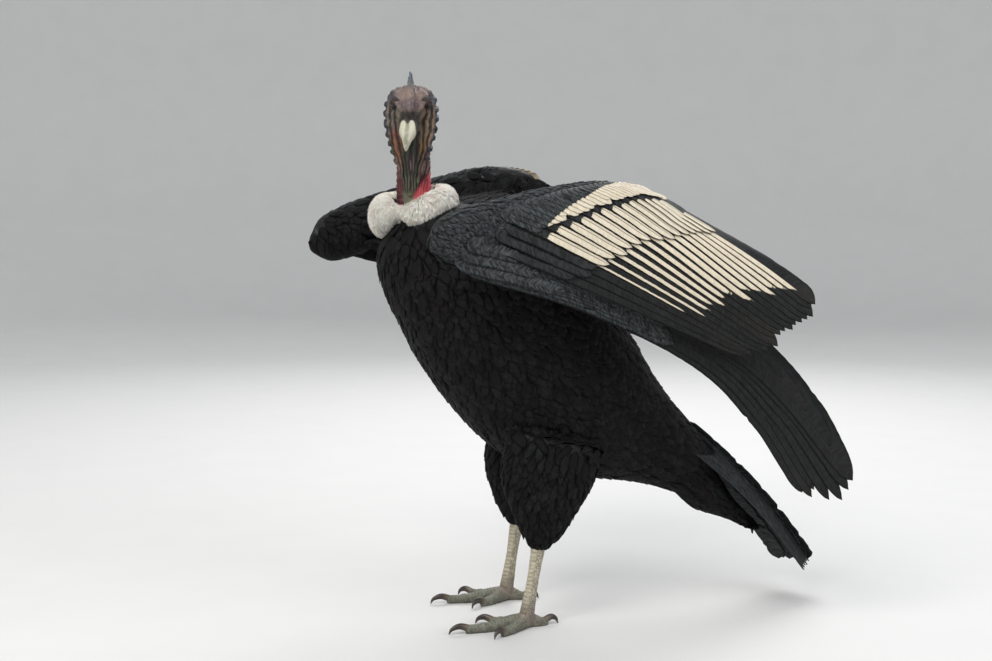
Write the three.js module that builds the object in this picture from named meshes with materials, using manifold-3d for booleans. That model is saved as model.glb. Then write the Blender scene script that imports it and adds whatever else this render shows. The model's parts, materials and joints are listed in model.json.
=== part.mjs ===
// Andean condor, adult male, standing with half-opened wings and its head turned to its left.
// Units are millimetres. +Z is up, the bird faces -Y, and +X is its left side.
import * as THREE from "three";
import { mergeVertices } from "three/addons/utils/BufferGeometryUtils.js";
import Module from "manifold-3d";

const wasm = await Module();
wasm.setup();

// Driving dimensions
const GAP = 0.3; // clearance between two pieces that touch
// Middle of the whole bird's box in X and Y, before the shift to the origin.
const BOX_CENTRE = [-5.82, 107.33];
const FOOT_HEIGHT = 24; // ball of the foot above the floor
const PALM = 30; // from the middle of the foot to where the toes part
const VANE_THICKNESS = 4; // one layer of flight feathers
const SUNK = 5; // how far that layer lies below the coverts' surface
const TAIL_HALF_THICKNESS = 3;
const TAIL_BOW = 16; // how far the tail arches
const HEAD_CENTRE = new THREE.Vector3(0, -217, 908);
const HEAD_YAW = 74; // degrees the head turns to the bird's left
const HEAD_PITCH = 33; // degrees the bill points below level
const EYE_RADIUS = 10;
const PARTING = 852; // height where the head meets the neck
const SECONDARIES = 17;
const PRIMARIES = 10;
const TERTIALS = 7;
const TAIL_FEATHERS = 12;

const vec = (x, y, z) => new THREE.Vector3(x, y, z);
const mix = THREE.MathUtils.lerp;
const clamp = THREE.MathUtils.clamp;
const smooth = THREE.MathUtils.smoothstep;
const radians = THREE.MathUtils.degToRad;

// Colours, roughness and metalness of the surfaces
const finish = (color, roughness) => new THREE.MeshStandardMaterial({ color, roughness, metalness: 0 });
const LOOKS = {
  black_feather: finish(0x111315, 0.55),
  white_feather: finish(0xd9d2c4, 0.7),
  white_down: finish(0xece6dd, 0.95),
  bare_skin: finish(0x7c5a4c, 0.6),
  neck_skin: finish(0xa8545a, 0.6),
  comb_skin: finish(0x57504c, 0.65),
  ivory_bill: finish(0xd8d4c0, 0.35),
  eye: finish(0x2a1710, 0.08),
  leg_scale: finish(0x9a9484, 0.7),
  claw: finish(0x2c2b28, 0.4),
};

// A closed surface through rings of equal length. Each end is closed by a fan, or by a strip where the
// ring is two rows of a thin layer, and pushed out by grow. Both faces of a thin layer are split alike,
// so that it is as thick all over.
function loft(rings, grow = 0, thin = false) {
  const n = rings[0].length;
  for (const [end, next] of [[rings[0], rings[1]], [rings.at(-1), rings.at(-2)]]) {
    const outwards = new THREE.Vector3();
    end.forEach((p, j) => outwards.add(p).sub(next[j]));
    outwards.setLength(grow);
    end.forEach((p) => p.add(outwards));
  }
  const points = rings.flat();
  const faces = [];
  for (let i = 0; i + 1 < rings.length; i++)
    for (let j = 0; j < n; j++) {
      const [a, b] = [i * n + j, i * n + ((j + 1) % n)];
      if (thin && j >= n / 2) faces.push(a, b, a + n, b, b + n, a + n);
      else faces.push(a, b, b + n, a, b + n, a + n);
    }
  for (const [row, turn] of [[0, 1], [rings.length - 1, 0]]) {
    if (thin) {
      for (let j = 0; j + 1 < n / 2; j++) {
        const quad = [j, j + 1, n - 2 - j, n - 1 - j].map((k) => row * n + k);
        if (turn) quad.reverse();
        faces.push(quad[0], quad[1], quad[2], quad[0], quad[2], quad[3]);
      }
      continue;
    }
    const middle = new THREE.Vector3();
    rings[row].forEach((p) => middle.addScaledVector(p, 1 / n));
    points.push(middle);
    for (let j = 0; j < n; j++) {
      const pair = [row * n + j, row * n + ((j + 1) % n)];
      faces.push(points.length - 1, pair[turn], pair[1 - turn]);
    }
  }
  return solid(new THREE.BufferGeometry().setFromPoints(points).setIndex(faces));
}

// A geometry as a solid, turned right side out.
function solid(geometry) {
  for (const name of ["normal", "uv"]) geometry.deleteAttribute(name);
  const merged = mergeVertices(geometry, 1e-3);
  const corners = Array.from(merged.index.array);
  const triangles = [];
  for (let i = 0; i < corners.length; i += 3) {
    const [a, b, c] = corners.slice(i, i + 3);
    if (a !== b && b !== c && a !== c) triangles.push(a, b, c);
  }
  const build = (triVerts) =>
    new wasm.Manifold(
      new wasm.Mesh({
        numProp: 3,
        vertProperties: merged.attributes.position.array,
        triVerts: new Uint32Array(triVerts),
      }),
    );
  const made = build(triangles);
  return made.volume() < 0 ? build(triangles.reverse()) : made;
}

// The largest body of a solid as a named mesh.
function piece(name, look, shape) {
  const whole = shape.decompose().reduce((a, b) => (a.volume() > b.volume() ? a : b));
  const mesh = whole.getMesh();
  const geometry = new THREE.BufferGeometry()
    .setAttribute("position", new THREE.BufferAttribute(new Float32Array(mesh.vertProperties), 3))
    .setIndex(new THREE.BufferAttribute(mesh.triVerts, 1));
  geometry.computeVertexNormals();
  const made = new THREE.Mesh(geometry, LOOKS[look]);
  made.name = name;
  return made;
}

const union = (...shapes) => shapes.reduce((a, b) => a.add(b));
const without = (shape, ...cutters) => cutters.reduce((a, b) => a.subtract(b), shape);

// A tube with elliptical rings. side and up are its half sizes across; roll turns the up direction.
function tube(path, size, { sides = 16, steps = 12, up = vec(0, 0, 1), grow = 0 } = {}) {
  const rings = [];
  for (let i = 0; i <= steps; i++) {
    const t = i / steps;
    const along = path.getTangent(t);
    const across = new THREE.Vector3().crossVectors(along, up).normalize();
    const over = new THREE.Vector3().crossVectors(across, along).normalize();
    const [side, height] = size(t);
    const ring = [];
    for (let j = 0; j < sides; j++) {
      const a = (2 * Math.PI * j) / sides;
      const p = path.getPoint(t);
      p.addScaledVector(across, (side + grow) * Math.cos(a));
      p.addScaledVector(over, (height + grow) * Math.sin(a));
      ring.push(p);
    }
    rings.push(ring);
  }
  return loft(rings, grow);
}

const curve = (...points) => new THREE.CatmullRomCurve3(points, false, "catmullrom", 0.5);

// Values given at even stations, as one smooth function of t.
function profile(...values) {
  const line = curve(...values.map((v) => (Array.isArray(v) ? vec(...v, 0) : vec(v, v, 0))));
  return (t) => {
    const p = line.getPoint(clamp(t, 0, 1));
    return [p.x, p.y];
  };
}

// Trunk: stations from the neck to the tail, each with its ventral point, dorsal point and half width.
const TRUNK = [
  [-246, 716, -168, 742, 54],
  [-275, 664, -124, 742, 92],
  [-271, 600, -64, 724, 122],
  [-240, 530, 12, 684, 138],
  [-198, 452, 82, 624, 144],
  [-134, 366, 146, 560, 138],
  [-60, 296, 192, 500, 126],
  [28, 256, 228, 440, 106],
  [118, 242, 264, 392, 82],
  [206, 228, 306, 344, 62],
  [282, 206, 340, 306, 44],
  [330, 190, 372, 276, 24],
];
const TRUNK_SIDES = 16;
const TRUNK_STEPS = 12;
const FULLNESS = 2.15; // 2 is an ellipse; more is fuller

function trunk(grow = 0) {
  const ventral = curve(...TRUNK.map(([y, z]) => vec(0, y, z)));
  const dorsal = curve(...TRUNK.map(([, , y, z, half]) => vec(half, y, z)));
  const bow = (c) => Math.sign(c) * Math.abs(c) ** (2 / FULLNESS);
  const rings = [];
  for (let i = 0; i <= TRUNK_STEPS; i++) {
    const t = i / TRUNK_STEPS;
    const [low, high] = [ventral.getPoint(t), dorsal.getPoint(t)];
    const half = high.x + grow;
    high.x = 0;
    const middle = low.clone().lerp(high, 0.5);
    const reach = high.clone().sub(low).multiplyScalar(0.5);
    reach.setLength(reach.length() + grow);
    const ring = [];
    for (let j = 0; j < TRUNK_SIDES; j++) {
      const a = (2 * Math.PI * j) / TRUNK_SIDES;
      const p = middle.clone().addScaledVector(reach, bow(Math.sin(a)));
      p.x += half * bow(Math.cos(a));
      ring.push(p);
    }
    rings.push(ring);
  }
  return loft(rings, grow);
}

// Ruff: a fat collar of down, thin on the side the head is turned to.
const RUFF_CENTRE = vec(0, -213, 724);
const RUFF_RING = 52; // radius of the collar's middle line
// angle from straight ahead towards the left, height of the middle line, half its height
const RUFF_STATIONS = [
  [-100, 730, 36], [-55, 724, 38], [-15, 718, 39], [22, 722, 31], [50, 724, 13], [78, 720, 28],
  [110, 730, 33], [150, 738, 34], [200, 742, 34],
];

function ruff(grow = 0) {
  const ring = (pick) => new THREE.CatmullRomCurve3(RUFF_STATIONS.map(pick), true, "catmullrom", 0.5);
  const line = ring(([angle, height]) => {
    const a = radians(angle);
    return vec(RUFF_RING * Math.sin(a), RUFF_CENTRE.y - RUFF_RING * Math.cos(a), height);
  });
  const thick = ring(([, , half]) => vec(half, 0, 0));
  const [columns, sides] = [14, 6];
  const points = [vec(0, 0, 12 + grow), vec(0, 0, -20 - grow)].map((p) => p.add(RUFF_CENTRE));
  for (let i = 0; i < columns; i++) {
    const middle = line.getPoint(i / columns);
    const half = thick.getPoint(i / columns).x;
    const outward = middle.clone().sub(RUFF_CENTRE).setZ(0).normalize();
    for (let j = 0; j <= sides; j++) {
      const a = mix(0.75, -0.65, j / sides) * Math.PI;
      const p = middle.clone().addScaledVector(outward, (Math.min(half * 0.85, 28) + grow) * Math.cos(a));
      points.push(p.add(vec(0, 0, (half + grow) * Math.sin(a))));
    }
  }
  const faces = [];
  for (let i = 0; i < columns; i++) {
    const [a, b] = [2 + i * (sides + 1), 2 + ((i + 1) % columns) * (sides + 1)];
    faces.push(0, a, b, 1, b + sides, a + sides);
    for (let j = 0; j < sides; j++) faces.push(a + j, a + j + 1, b + j + 1, a + j, b + j + 1, b + j);
  }
  return solid(new THREE.BufferGeometry().setFromPoints(points).setIndex(faces));
}

// Neck: rises from the ruff and carries the turned head.
function neck(grow = 0) {
  const path = curve(
    vec(2, -212, 722), vec(-6, -211, 765), vec(-22, -208, 820), vec(-30, -208, 868), vec(-22, -210, 900),
  );
  const size = profile([33, 33], [29, 31], [27, 30], [27, 30], [24, 26]);
  return tube(path, size, { sides: 11, steps: 5, up: vec(0, 1, 0), grow });
}

// Head frame: ahead along the bill, left on the bird's own left, over the crown.
const AHEAD = vec(
  Math.sin(radians(HEAD_YAW)) * Math.cos(radians(HEAD_PITCH)),
  -Math.cos(radians(HEAD_YAW)) * Math.cos(radians(HEAD_PITCH)),
  -Math.sin(radians(HEAD_PITCH)),
);
const LEFT = new THREE.Vector3().crossVectors(vec(0, 0, 1), AHEAD).normalize();
const OVER = new THREE.Vector3().crossVectors(AHEAD, LEFT);
const onHead = (ahead, left, over) =>
  HEAD_CENTRE.clone().addScaledVector(AHEAD, ahead).addScaledVector(LEFT, left).addScaledVector(OVER, over);
const headCurve = (...points) => curve(...points.map((p) => onHead(...p)));
// Folds hang straight down: towards the face, to its left, and height above the floor.
const FACING = vec(Math.sin(radians(HEAD_YAW)), -Math.cos(radians(HEAD_YAW)), 0);
const faceCurve = (...points) =>
  curve(...points.map(([ahead, left, height]) =>
    HEAD_CENTRE.clone().addScaledVector(FACING, ahead).addScaledVector(LEFT, left).setZ(height)));

function skull(grow = 0) {
  const path = headCurve(
    [-50, 0, -5], [-36, 0, -4], [-12, 0, 2], [12, 0, 3], [32, 0, -2], [50, 0, -6], [62, 0, -9],
  );
  const size = profile([12, 12], [30, 24], [35, 31], [32, 29], [23, 23], [15, 17], [12, 14]);
  return tube(path, size, { sides: 10, steps: 6, up: OVER, grow });
}

// A fold of loose skin down each side of the head, from behind the eye to the throat.
function lappet(side, grow = 0) {
  const path = faceCurve(
    [-10, 30 * side, 932], [-6, 37 * side, 912], [0, 38 * side, 888], [6, 35 * side, 862],
    [12, 27 * side, 834], [18, 17 * side, 804], [21, 9 * side, 772],
  );
  const size = profile([6, 8], [8, 14], [8, 16], [7.5, 16], [8, 15], [7, 12], [4, 6]);
  return tube(path, size, { sides: 6, steps: 5, up: FACING, grow });
}

// The wattle that hangs from the lower jaw down the throat.
function wattle(grow = 0) {
  const path = faceCurve([28, 0, 872], [24, 0, 850], [21, 0, 818], [22, 0, 782], [24, 0, 752]);
  const size = profile([9, 9], [16, 12], [17, 12], [13, 10], [6, 6]);
  return tube(path, size, { sides: 7, steps: 4, up: FACING, grow });
}

function head(grow = 0) {
  return union(skull(grow), lappet(1, grow), lappet(-1, grow), wattle(grow));
}

// Comb: a thin upright plate from the bill's base to the crown.
function comb(grow = 0) {
  const path = headCurve([54, 0, 8], [44, 0, 20], [26, 0, 34], [6, 0, 41], [-14, 0, 40], [-28, 0, 30]);
  const size = profile([4, 7], [6, 13], [6, 18], [5.5, 22], [4.5, 19], [3, 10]);
  return tube(path, size, { sides: 6, steps: 6, up: OVER, grow });
}

const BILL_ROOT = 54;
function billUpper(grow = 0) {
  const path = headCurve(
    [BILL_ROOT, 0, -5], [70, 0, -5], [84, 0, -8], [94, 0, -17], [98, 0, -29], [97, 0, -39],
  );
  const size = profile([15, 14], [15.5, 15], [15, 14], [11, 10], [6, 6], [1.2, 1.2]);
  return tube(path, size, { sides: 10, steps: 8, up: OVER, grow });
}

function billLower(grow = 0) {
  const path = headCurve([BILL_ROOT, 0, -20], [68, 0, -24], [80, 0, -27], [88, 0, -28]);
  const size = profile([11, 6], [10, 6], [7, 5], [2, 2]);
  return tube(path, size, { sides: 8, steps: 5, up: OVER, grow });
}

function eye(side, grow = 0) {
  const ball = new THREE.SphereGeometry(EYE_RADIUS + grow, 9, 6);
  return solid(ball.translate(...onHead(14, 24.5 * side, 14).toArray()));
}

// Wings. A sheet is a smooth surface through rows of points: u runs across the feathers, v along them.
function sheet(rows) {
  const lines = rows.map((row) => curve(...row.map((p) => vec(...p))));
  const known = new Map();
  const point = (u, v) => {
    if (!known.has(u)) known.set(u, curve(...lines.map((line) => line.getPoint(u))));
    return known.get(u).getPoint(v);
  };
  const step = 1e-3;
  const normal = (u, v) => {
    const [a, b] = [clamp(u, step, 1 - step), clamp(v, step, 1 - step)];
    const across = point(a + step, b).sub(point(a - step, b));
    const along = point(a, b + step).sub(point(a, b - step));
    return across.cross(along).normalize();
  };
  return { point, normal };
}

// Each wing by its joints and by two sheets: the arm's, from wrist to elbow, and the hand's, from its
// leading edge to the innermost primary. Rows go from the feathers' roots to their tips.
const WINGS = {
  left: {
    side: 1,
    wrist: [272, -206, 690],
    elbow: [190, 110, 744],
    roll: [
      [282, -258, 666, 10, 12], [281, -232, 677, 32, 42], [276, -196, 686, 36, 49], [262, -130, 706, 34, 46],
      [244, -52, 726, 32, 43], [222, 30, 742, 29, 38], [204, 96, 748, 24, 31], [198, 156, 746, 10, 14],
    ],
    shoulder: [[84, -196, 668], [100, -30, 682]],
    arm: [
      [[284, -226, 690], [262, -116, 744], [228, 14, 766], [196, 128, 760]],
      [[300, -62, 628], [296, 30, 676], [276, 132, 702], [252, 214, 704]],
      [[308, 100, 560], [314, 175, 590], [320, 245, 614], [306, 305, 640]],
      [[312, 270, 488], [326, 318, 500], [334, 362, 530], [337, 394, 572]],
    ],
    hand: [
      [[286, -240, 644], [288, -230, 658], [288, -220, 672], [288, -205, 688]],
      [[288, 20, 566], [290, 5, 590], [292, -15, 614], [294, -34, 642]],
      [[286, 240, 446], [286, 274, 460], [286, 287, 484], [288, 205, 578]],
      [[292, 392, 246], [285, 455, 222], [276, 508, 257], [286, 341, 470]],
    ],
  },
  right: {
    side: -1,
    wrist: [-286, -290, 694],
    elbow: [-198, 54, 772],
    roll: [
      [-300, -346, 662, 10, 12], [-298, -316, 672, 32, 44], [-291, -264, 694, 36, 53],
      [-278, -190, 722, 34, 50],
      [-258, -100, 752, 33, 46], [-236, -20, 774, 31, 43], [-216, 42, 778, 27, 36], [-206, 98, 770, 12, 14],
    ],
    shoulder: [[-84, -196, 668], [-100, -30, 682]],
    arm: [
      [[-300, -306, 692], [-276, -175, 758], [-240, -50, 794], [-206, 68, 788]],
      [[-318, -149, 634], [-310, -25, 697], [-288, 72, 732], [-262, 158, 736]],
      [[-326, 13, 566], [-328, 120, 611], [-330, 185, 644], [-316, 249, 674]],
      [[-330, 180, 510], [-342, 232, 524], [-348, 286, 556], [-347, 338, 606]],
    ],
    hand: [
      [[-303, -310, 660], [-304, -304, 668], [-304, -298, 676], [-303, -290, 684]],
      [[-306, -75, 606], [-308, -85, 620], [-310, -100, 634], [-312, -120, 646]],
      [[-304, 180, 526], [-304, 205, 546], [-304, 195, 572], [-312, 60, 596]],
      [[-292, 396, 460], [-290, 446, 472], [-285, 462, 506], [-308, 235, 548]],
    ],
  },
};

// A thin layer over part of a sheet. reach(u) is where its feathers end.
function layer(patch, side, { from, reach, columns, rows, grow }) {
  const half = VANE_THICKNESS / 2 + grow;
  const rings = [];
  for (let i = 0; i <= columns; i++) {
    const u = i / columns;
    const faceUp = [];
    const faceDown = [];
    for (let j = 0; j <= rows; j++) {
      const v = j < rows ? mix(from, 1, j / rows) : reach(u);
      const out = patch.normal(u, v).multiplyScalar(side);
      const middle = patch.point(u, v).addScaledVector(out, -SUNK);
      if (j === rows) middle.add(patch.point(u, v).sub(patch.point(u, v - 0.05)).setLength(grow));
      faceUp.push(middle.clone().addScaledVector(out, half));
      faceDown.push(middle.clone().addScaledVector(out, -half));
    }
    rings.push([...faceUp, ...faceDown.reverse()]);
  }
  return loft(rings, grow, true);
}

// The feathered front of a wing: rounded at its leading edge and thinning towards the feathers.
function padding(patch, side, { until, deep, columns, ring = 14, grow = 0, u0 = -0.03, u1 = 1.03 }) {
  const rings = [];
  for (let i = 0; i <= columns; i++) {
    const t = i / columns;
    const u = clamp(mix(u0, u1, t), 0, 1);
    const round = Math.sqrt(Math.max(0.04, 1 - Math.abs(2 * t - 1) ** 6));
    const back = until * mix(0.7, 1, round);
    const points = [];
    for (let j = 0; j < ring; j++) {
      const a = (2 * Math.PI * (j + 0.5)) / ring;
      const v = (back * (1 - Math.cos(a))) / 2;
      const thin = 1 - 0.7 * smooth(v / back, 0.1, 1);
      const out = patch.normal(u, v).multiplyScalar(side);
      const swell = Math.sin(a) * deep(u) * round * thin + Math.sign(Math.sin(a)) * grow;
      const p = patch.point(u, v).addScaledVector(out, swell);
      const ahead = patch.point(u, 0).sub(patch.point(u, 0.05)).normalize();
      p.addScaledVector(ahead, Math.cos(a) * grow + Math.max(0, Math.cos(a)) * 0.35 * deep(u) * round);
      points.push(p);
    }
    rings.push(points);
  }
  return loft(rings, grow);
}

// A slab between two edges, one ring for each pair of points along them.
function slab(front, back, thickness, { sides = 8, steps = 4, grow = 0 }) {
  const rings = [];
  for (let i = 0; i <= steps; i++) {
    const t = i / steps;
    const [F, B] = [front.getPoint(t), back.getPoint(t)];
    const middle = F.clone().lerp(B, 0.5);
    const reach = F.clone().sub(B).multiplyScalar(0.5);
    const along = front.getTangent(t).add(back.getTangent(t));
    const over = new THREE.Vector3().crossVectors(reach, along).normalize();
    reach.setLength(reach.length() + grow);
    const ring = [];
    for (let j = 0; j < sides; j++) {
      const a = (2 * Math.PI * j) / sides;
      const p = middle.clone().addScaledVector(reach, Math.cos(a));
      ring.push(p.addScaledVector(over, Math.sin(a) * (thickness(t)[0] + grow)));
    }
    rings.push(ring);
  }
  return loft(rings, grow);
}

// Feathers end in rounded tips, one scallop each.
const scallop = (u, count, depth) => depth * Math.abs(2 * ((u * count) % 1) - 1) ** 2.5;

function wing(name, { side, shoulder, wrist, elbow, roll, arm, hand }, trunkCutter) {
  const armSheet = sheet(arm);
  const handSheet = sheet(hand);
  const [W, E] = [vec(...wrist), vec(...elbow)];
  const [fore, aft] = shoulder.map((p) => vec(...p));
  const upperArm = (grow) =>
    slab(
      curve(fore, fore.clone().lerp(W, 0.5).add(vec(0, 26, 6)), W),
      curve(aft, aft.clone().lerp(E, 0.5).add(vec(0, 0, 14)), E),
      profile([40, 40], [34, 34], [26, 26], [18, 18]), { grow },
    );
  const front = (grow) => padding(armSheet, side, { until: 0.5, deep: () => 20, columns: 6, ring: 8, grow });
  const forearm = (grow) =>
    tube(
      curve(...roll.map(([x, y, z]) => vec(x, y, z))),
      profile(...roll.map(([, , , across, over]) => [across, over])), { sides: 8, steps: 8, grow },
    );
  const armShape = (grow = 0) => union(forearm(grow), front(grow), upperArm(grow));
  const handShape = (grow = 0) =>
    padding(handSheet, -side, { until: 0.42, deep: () => 15, columns: 4, ring: 8, grow });
  const secondaryLayer = (grow) =>
    layer(armSheet, side, {
      from: 0.1, columns: SECONDARIES * 2, rows: 2, grow, reach: (u) => 1 - scallop(u, SECONDARIES, 0.04),
    });
  const primaryLayer = (grow) =>
    layer(handSheet, -side, {
      from: 0.05, columns: PRIMARIES * 2, rows: 4, grow,
      reach: (u) => 1 - scallop(u, PRIMARIES, mix(0.07, 0.04, smooth(u, 0.2, 0.6))),
    });
  const inner = curve(
    aft.clone().add(vec(side * 6, -10, 0)), aft.clone().lerp(E, 0.5), E.clone().lerp(aft, 0.04),
  );
  const tertialTips = curve(
    vec(side * 112, aft.y + 250, 540), vec(side * 168, aft.y + 300, 560),
    armSheet.point(1, 0.86).add(vec(side * -14, -6, -12)),
  );
  const tertialLayer = () => {
    const rings = [];
    for (let i = 0; i <= TERTIALS * 2; i++) {
      const u = i / (TERTIALS * 2);
      const [root, tip] = [inner.getPoint(u), tertialTips.getPoint(u)];
      tip.lerp(root, scallop(u, TERTIALS, 0.06));
      const out = new THREE.Vector3().crossVectors(inner.getTangent(u), tip.clone().sub(root)).normalize();
      const along = (v, shift) =>
        root.clone().lerp(tip, v).addScaledVector(out, shift + side * 10 * Math.sin(Math.PI * v));
      const half = VANE_THICKNESS / 2;
      const faces = [half, -half].map((shift) => [0, 0.5, 1].map((v) => along(v, shift)));
      rings.push([...faces[0], ...faces[1].reverse()]);
    }
    return loft(rings, 0, true);
  };
  const [armGap, handGap] = [armShape(GAP), handShape(GAP)];
  const apart = [armGap, handGap, trunkCutter];
  return [
    piece(`wing_${name}_arm`, "black_feather", without(armShape(), trunkCutter)),
    piece(`wing_${name}_hand`, "black_feather", without(handShape(), armGap, trunkCutter)),
    piece(`wing_${name}_secondaries`, "white_feather", without(secondaryLayer(0), ...apart)),
    piece(`wing_${name}_primaries`, "black_feather", without(primaryLayer(0), ...apart, secondaryLayer(GAP))),
    piece(`wing_${name}_tertials`, "black_feather", without(tertialLayer(), ...apart, secondaryLayer(GAP))),
  ];
}

// Tail: twelve feathers folded like a roof, with the ridge on top.
function tailLayer(grow = 0) {
  const root = (u) => vec(40 * u, 290 - 10 * Math.abs(u), 352 - 46 * Math.abs(u));
  const tip = (u) => vec(58 * u, 566 - 42 * Math.abs(u), 58 - 6 * Math.abs(u));
  const rings = [];
  const columns = TAIL_FEATHERS * 2;
  for (let i = 0; i <= columns; i++) {
    const u = mix(-1, 1, i / columns);
    const end = 1 - scallop((u + 1) / 2, TAIL_FEATHERS, 0.035);
    const slope = vec(Math.sign(u || 1) * 0.8 * smooth(Math.abs(u), 0, 0.2), 0.5, 0.5).normalize();
    const [above, below] = [[], []];
    for (let j = 0; j <= 3; j++) {
      const p = root(u).lerp(tip(u), mix(0, end, j / 3));
      p.addScaledVector(vec(0, 0.7, 0.7), TAIL_BOW * Math.sin((Math.PI * j) / 3));
      if (j === 3) p.add(vec(0, 0.7, -0.7).multiplyScalar(grow));
      above.push(p.clone().addScaledVector(slope, TAIL_HALF_THICKNESS + grow));
      below.push(p.clone().addScaledVector(slope, -TAIL_HALF_THICKNESS - grow));
    }
    rings.push([...above, ...below.reverse()]);
  }
  return loft(rings, grow, true);
}

// The long soft feathers under the tail.
function undertail() {
  const path = curve(vec(0, 280, 262), vec(0, 336, 212), vec(0, 392, 170), vec(0, 446, 132), vec(0, 492, 98));
  const size = profile([46, 40], [44, 48], [36, 30], [26, 16], [8, 5]);
  return tube(path, size, { sides: 8, steps: 5, up: vec(0, 1, 1) });
}

// Legs. Each has its foot's place, and the ankle where the feathered leg ends.
const LEGS = {
  left: { side: 1, foot: [95, -35], ankle: [95, -14, 146], hip: [88, 20, 330] },
  right: { side: -1, foot: [-95, -14], ankle: [-95, 6, 150], hip: [-88, 44, 330] },
};
// name, heading in degrees outwards from straight ahead, length, half width, claw length
const TOES = [
  ["inner", -30, 66, 8.5, 30],
  ["middle", 4, 112, 9.5, 36],
  ["outer", 38, 74, 8, 27],
  ["hind", 188, 38, 7, 24],
];

function leg(name, { side, foot, ankle, hip }, trunkCutter) {
  const [A, H] = [vec(...ankle), vec(...hip)];
  const F = vec(...foot, FOOT_HEIGHT);
  const thigh = (grow) =>
    tube(
      curve(H, vec(H.x, A.y + 16, 255), vec(A.x, A.y + 8, 198), A.clone().add(vec(0, 0, -6))),
      profile([60, 92], [54, 84], [35, 56], [13, 17]), { sides: 10, steps: 5, up: vec(0, 1, 0), grow },
    );
  const shank = (grow) =>
    tube(
      curve(
        A.clone().add(vec(0, 4, 14)), A, A.clone().lerp(F, 0.5), F.clone().add(vec(0, 0, 4)),
        F.clone().add(vec(0, -4, -10)),
      ),
      profile([11, 12], [11.5, 13], [9, 10.5], [12, 13], [12, 11]),
      { sides: 7, steps: 4, up: vec(0, 1, 0), grow },
    );
  const claws = [];
  const toes = [];
  const palm = [shank(0)];
  for (const [toe, heading, length, half, clawLength] of TOES) {
    const way = vec(side * Math.sin(radians(heading)), -Math.cos(radians(heading)), 0);
    const at = (distance, height) => F.clone().addScaledVector(way, distance).setZ(height);
    const beyond = (shape, distance) => shape.trimByPlane(way.toArray(), way.dot(F) + distance);
    const back = way.clone().negate().toArray();
    const before = (shape, distance) => shape.trimByPlane(back, -way.dot(F) - distance);
    const digit = tube(
      curve(at(0, 14), at(length * 0.35, 10.5), at(length * 0.7, 6.8), at(length + 2, 7.5)),
      profile([half + 2, 14], [half, 12], [half * 0.95, 9], [half * 0.7, 8]), { sides: 6, steps: 3 },
    ).trimByPlane([0, 0, 1], 0);
    const claw = tube(
      curve(
        at(length - 4, 9), at(length + clawLength * 0.35, 14), at(length + clawLength * 0.75, 10),
        at(length + clawLength * 0.92, 1.5),
      ),
      profile([5.5, 6.5], [4.5, 5.5], [2.8, 3.4], [0.8, 0.8]), { sides: 6, steps: 3 },
    );
    const start = Math.min(PALM, length * 0.45);
    palm.push(before(digit, start - GAP));
    toes.push(piece(`toe_${name}_${toe}`, "leg_scale", before(beyond(digit, start), length)));
    claws.push(piece(`claw_${name}_${toe}`, "claw", beyond(claw, length + GAP)));
  }
  return [
    piece(`leg_${name}_thigh`, "black_feather", without(thigh(0), trunkCutter)),
    piece(`leg_${name}_foot`, "leg_scale", without(union(...palm), thigh(GAP))),
    ...toes,
    ...claws,
  ];
}

function assemble() {
  const trunkCutter = union(trunk(GAP), ruff(GAP));
  const cutters = [ruff(GAP), eye(1, GAP), eye(-1, GAP), billUpper(GAP), billLower(GAP)];
  const bare = without(union(head(), neck()), ...cutters);
  const group = new THREE.Group();
  group.add(
    piece("trunk", "black_feather", without(trunk(), ruff(GAP))),
    piece("ruff", "white_down", ruff()),
    piece("neck", "neck_skin", bare.trimByPlane([0, 0, -1], -(PARTING - GAP / 2))),
    piece("head", "bare_skin", bare.trimByPlane([0, 0, 1], PARTING + GAP / 2)),
    piece("comb", "comb_skin", without(comb(), head(GAP), billUpper(GAP))),
    piece("bill_upper", "ivory_bill", billUpper()),
    piece("bill_lower", "ivory_bill", without(billLower(), billUpper(GAP))),
    piece("eye_left", "eye", eye(1)),
    piece("eye_right", "eye", eye(-1)),
    piece("tail_feathers", "black_feather", without(tailLayer(), trunkCutter)),
    piece("tail_coverts_under", "black_feather", without(undertail(), trunkCutter, tailLayer(GAP))),
  );
  for (const [name, keys] of Object.entries(WINGS)) group.add(...wing(name, keys, trunkCutter));
  for (const [name, keys] of Object.entries(LEGS)) group.add(...leg(name, keys, trunkCutter));
  group.position.set(-BOX_CENTRE[0], -BOX_CENTRE[1], 0);
  return group;
}

const condor = assemble();
export default condor;
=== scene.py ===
# Andean condor, adult male: skin, plumage, bill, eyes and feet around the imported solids.
# Shapes are laid out in millimetres in the bird's own axes: it faces -Y, its left is +X and up is +Z.
# to_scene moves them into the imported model's frame, in metres.
import json
import math

import bpy
import numpy as np
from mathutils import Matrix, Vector
from mathutils.bvhtree import BVHTree
from mathutils.kdtree import KDTree

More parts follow.
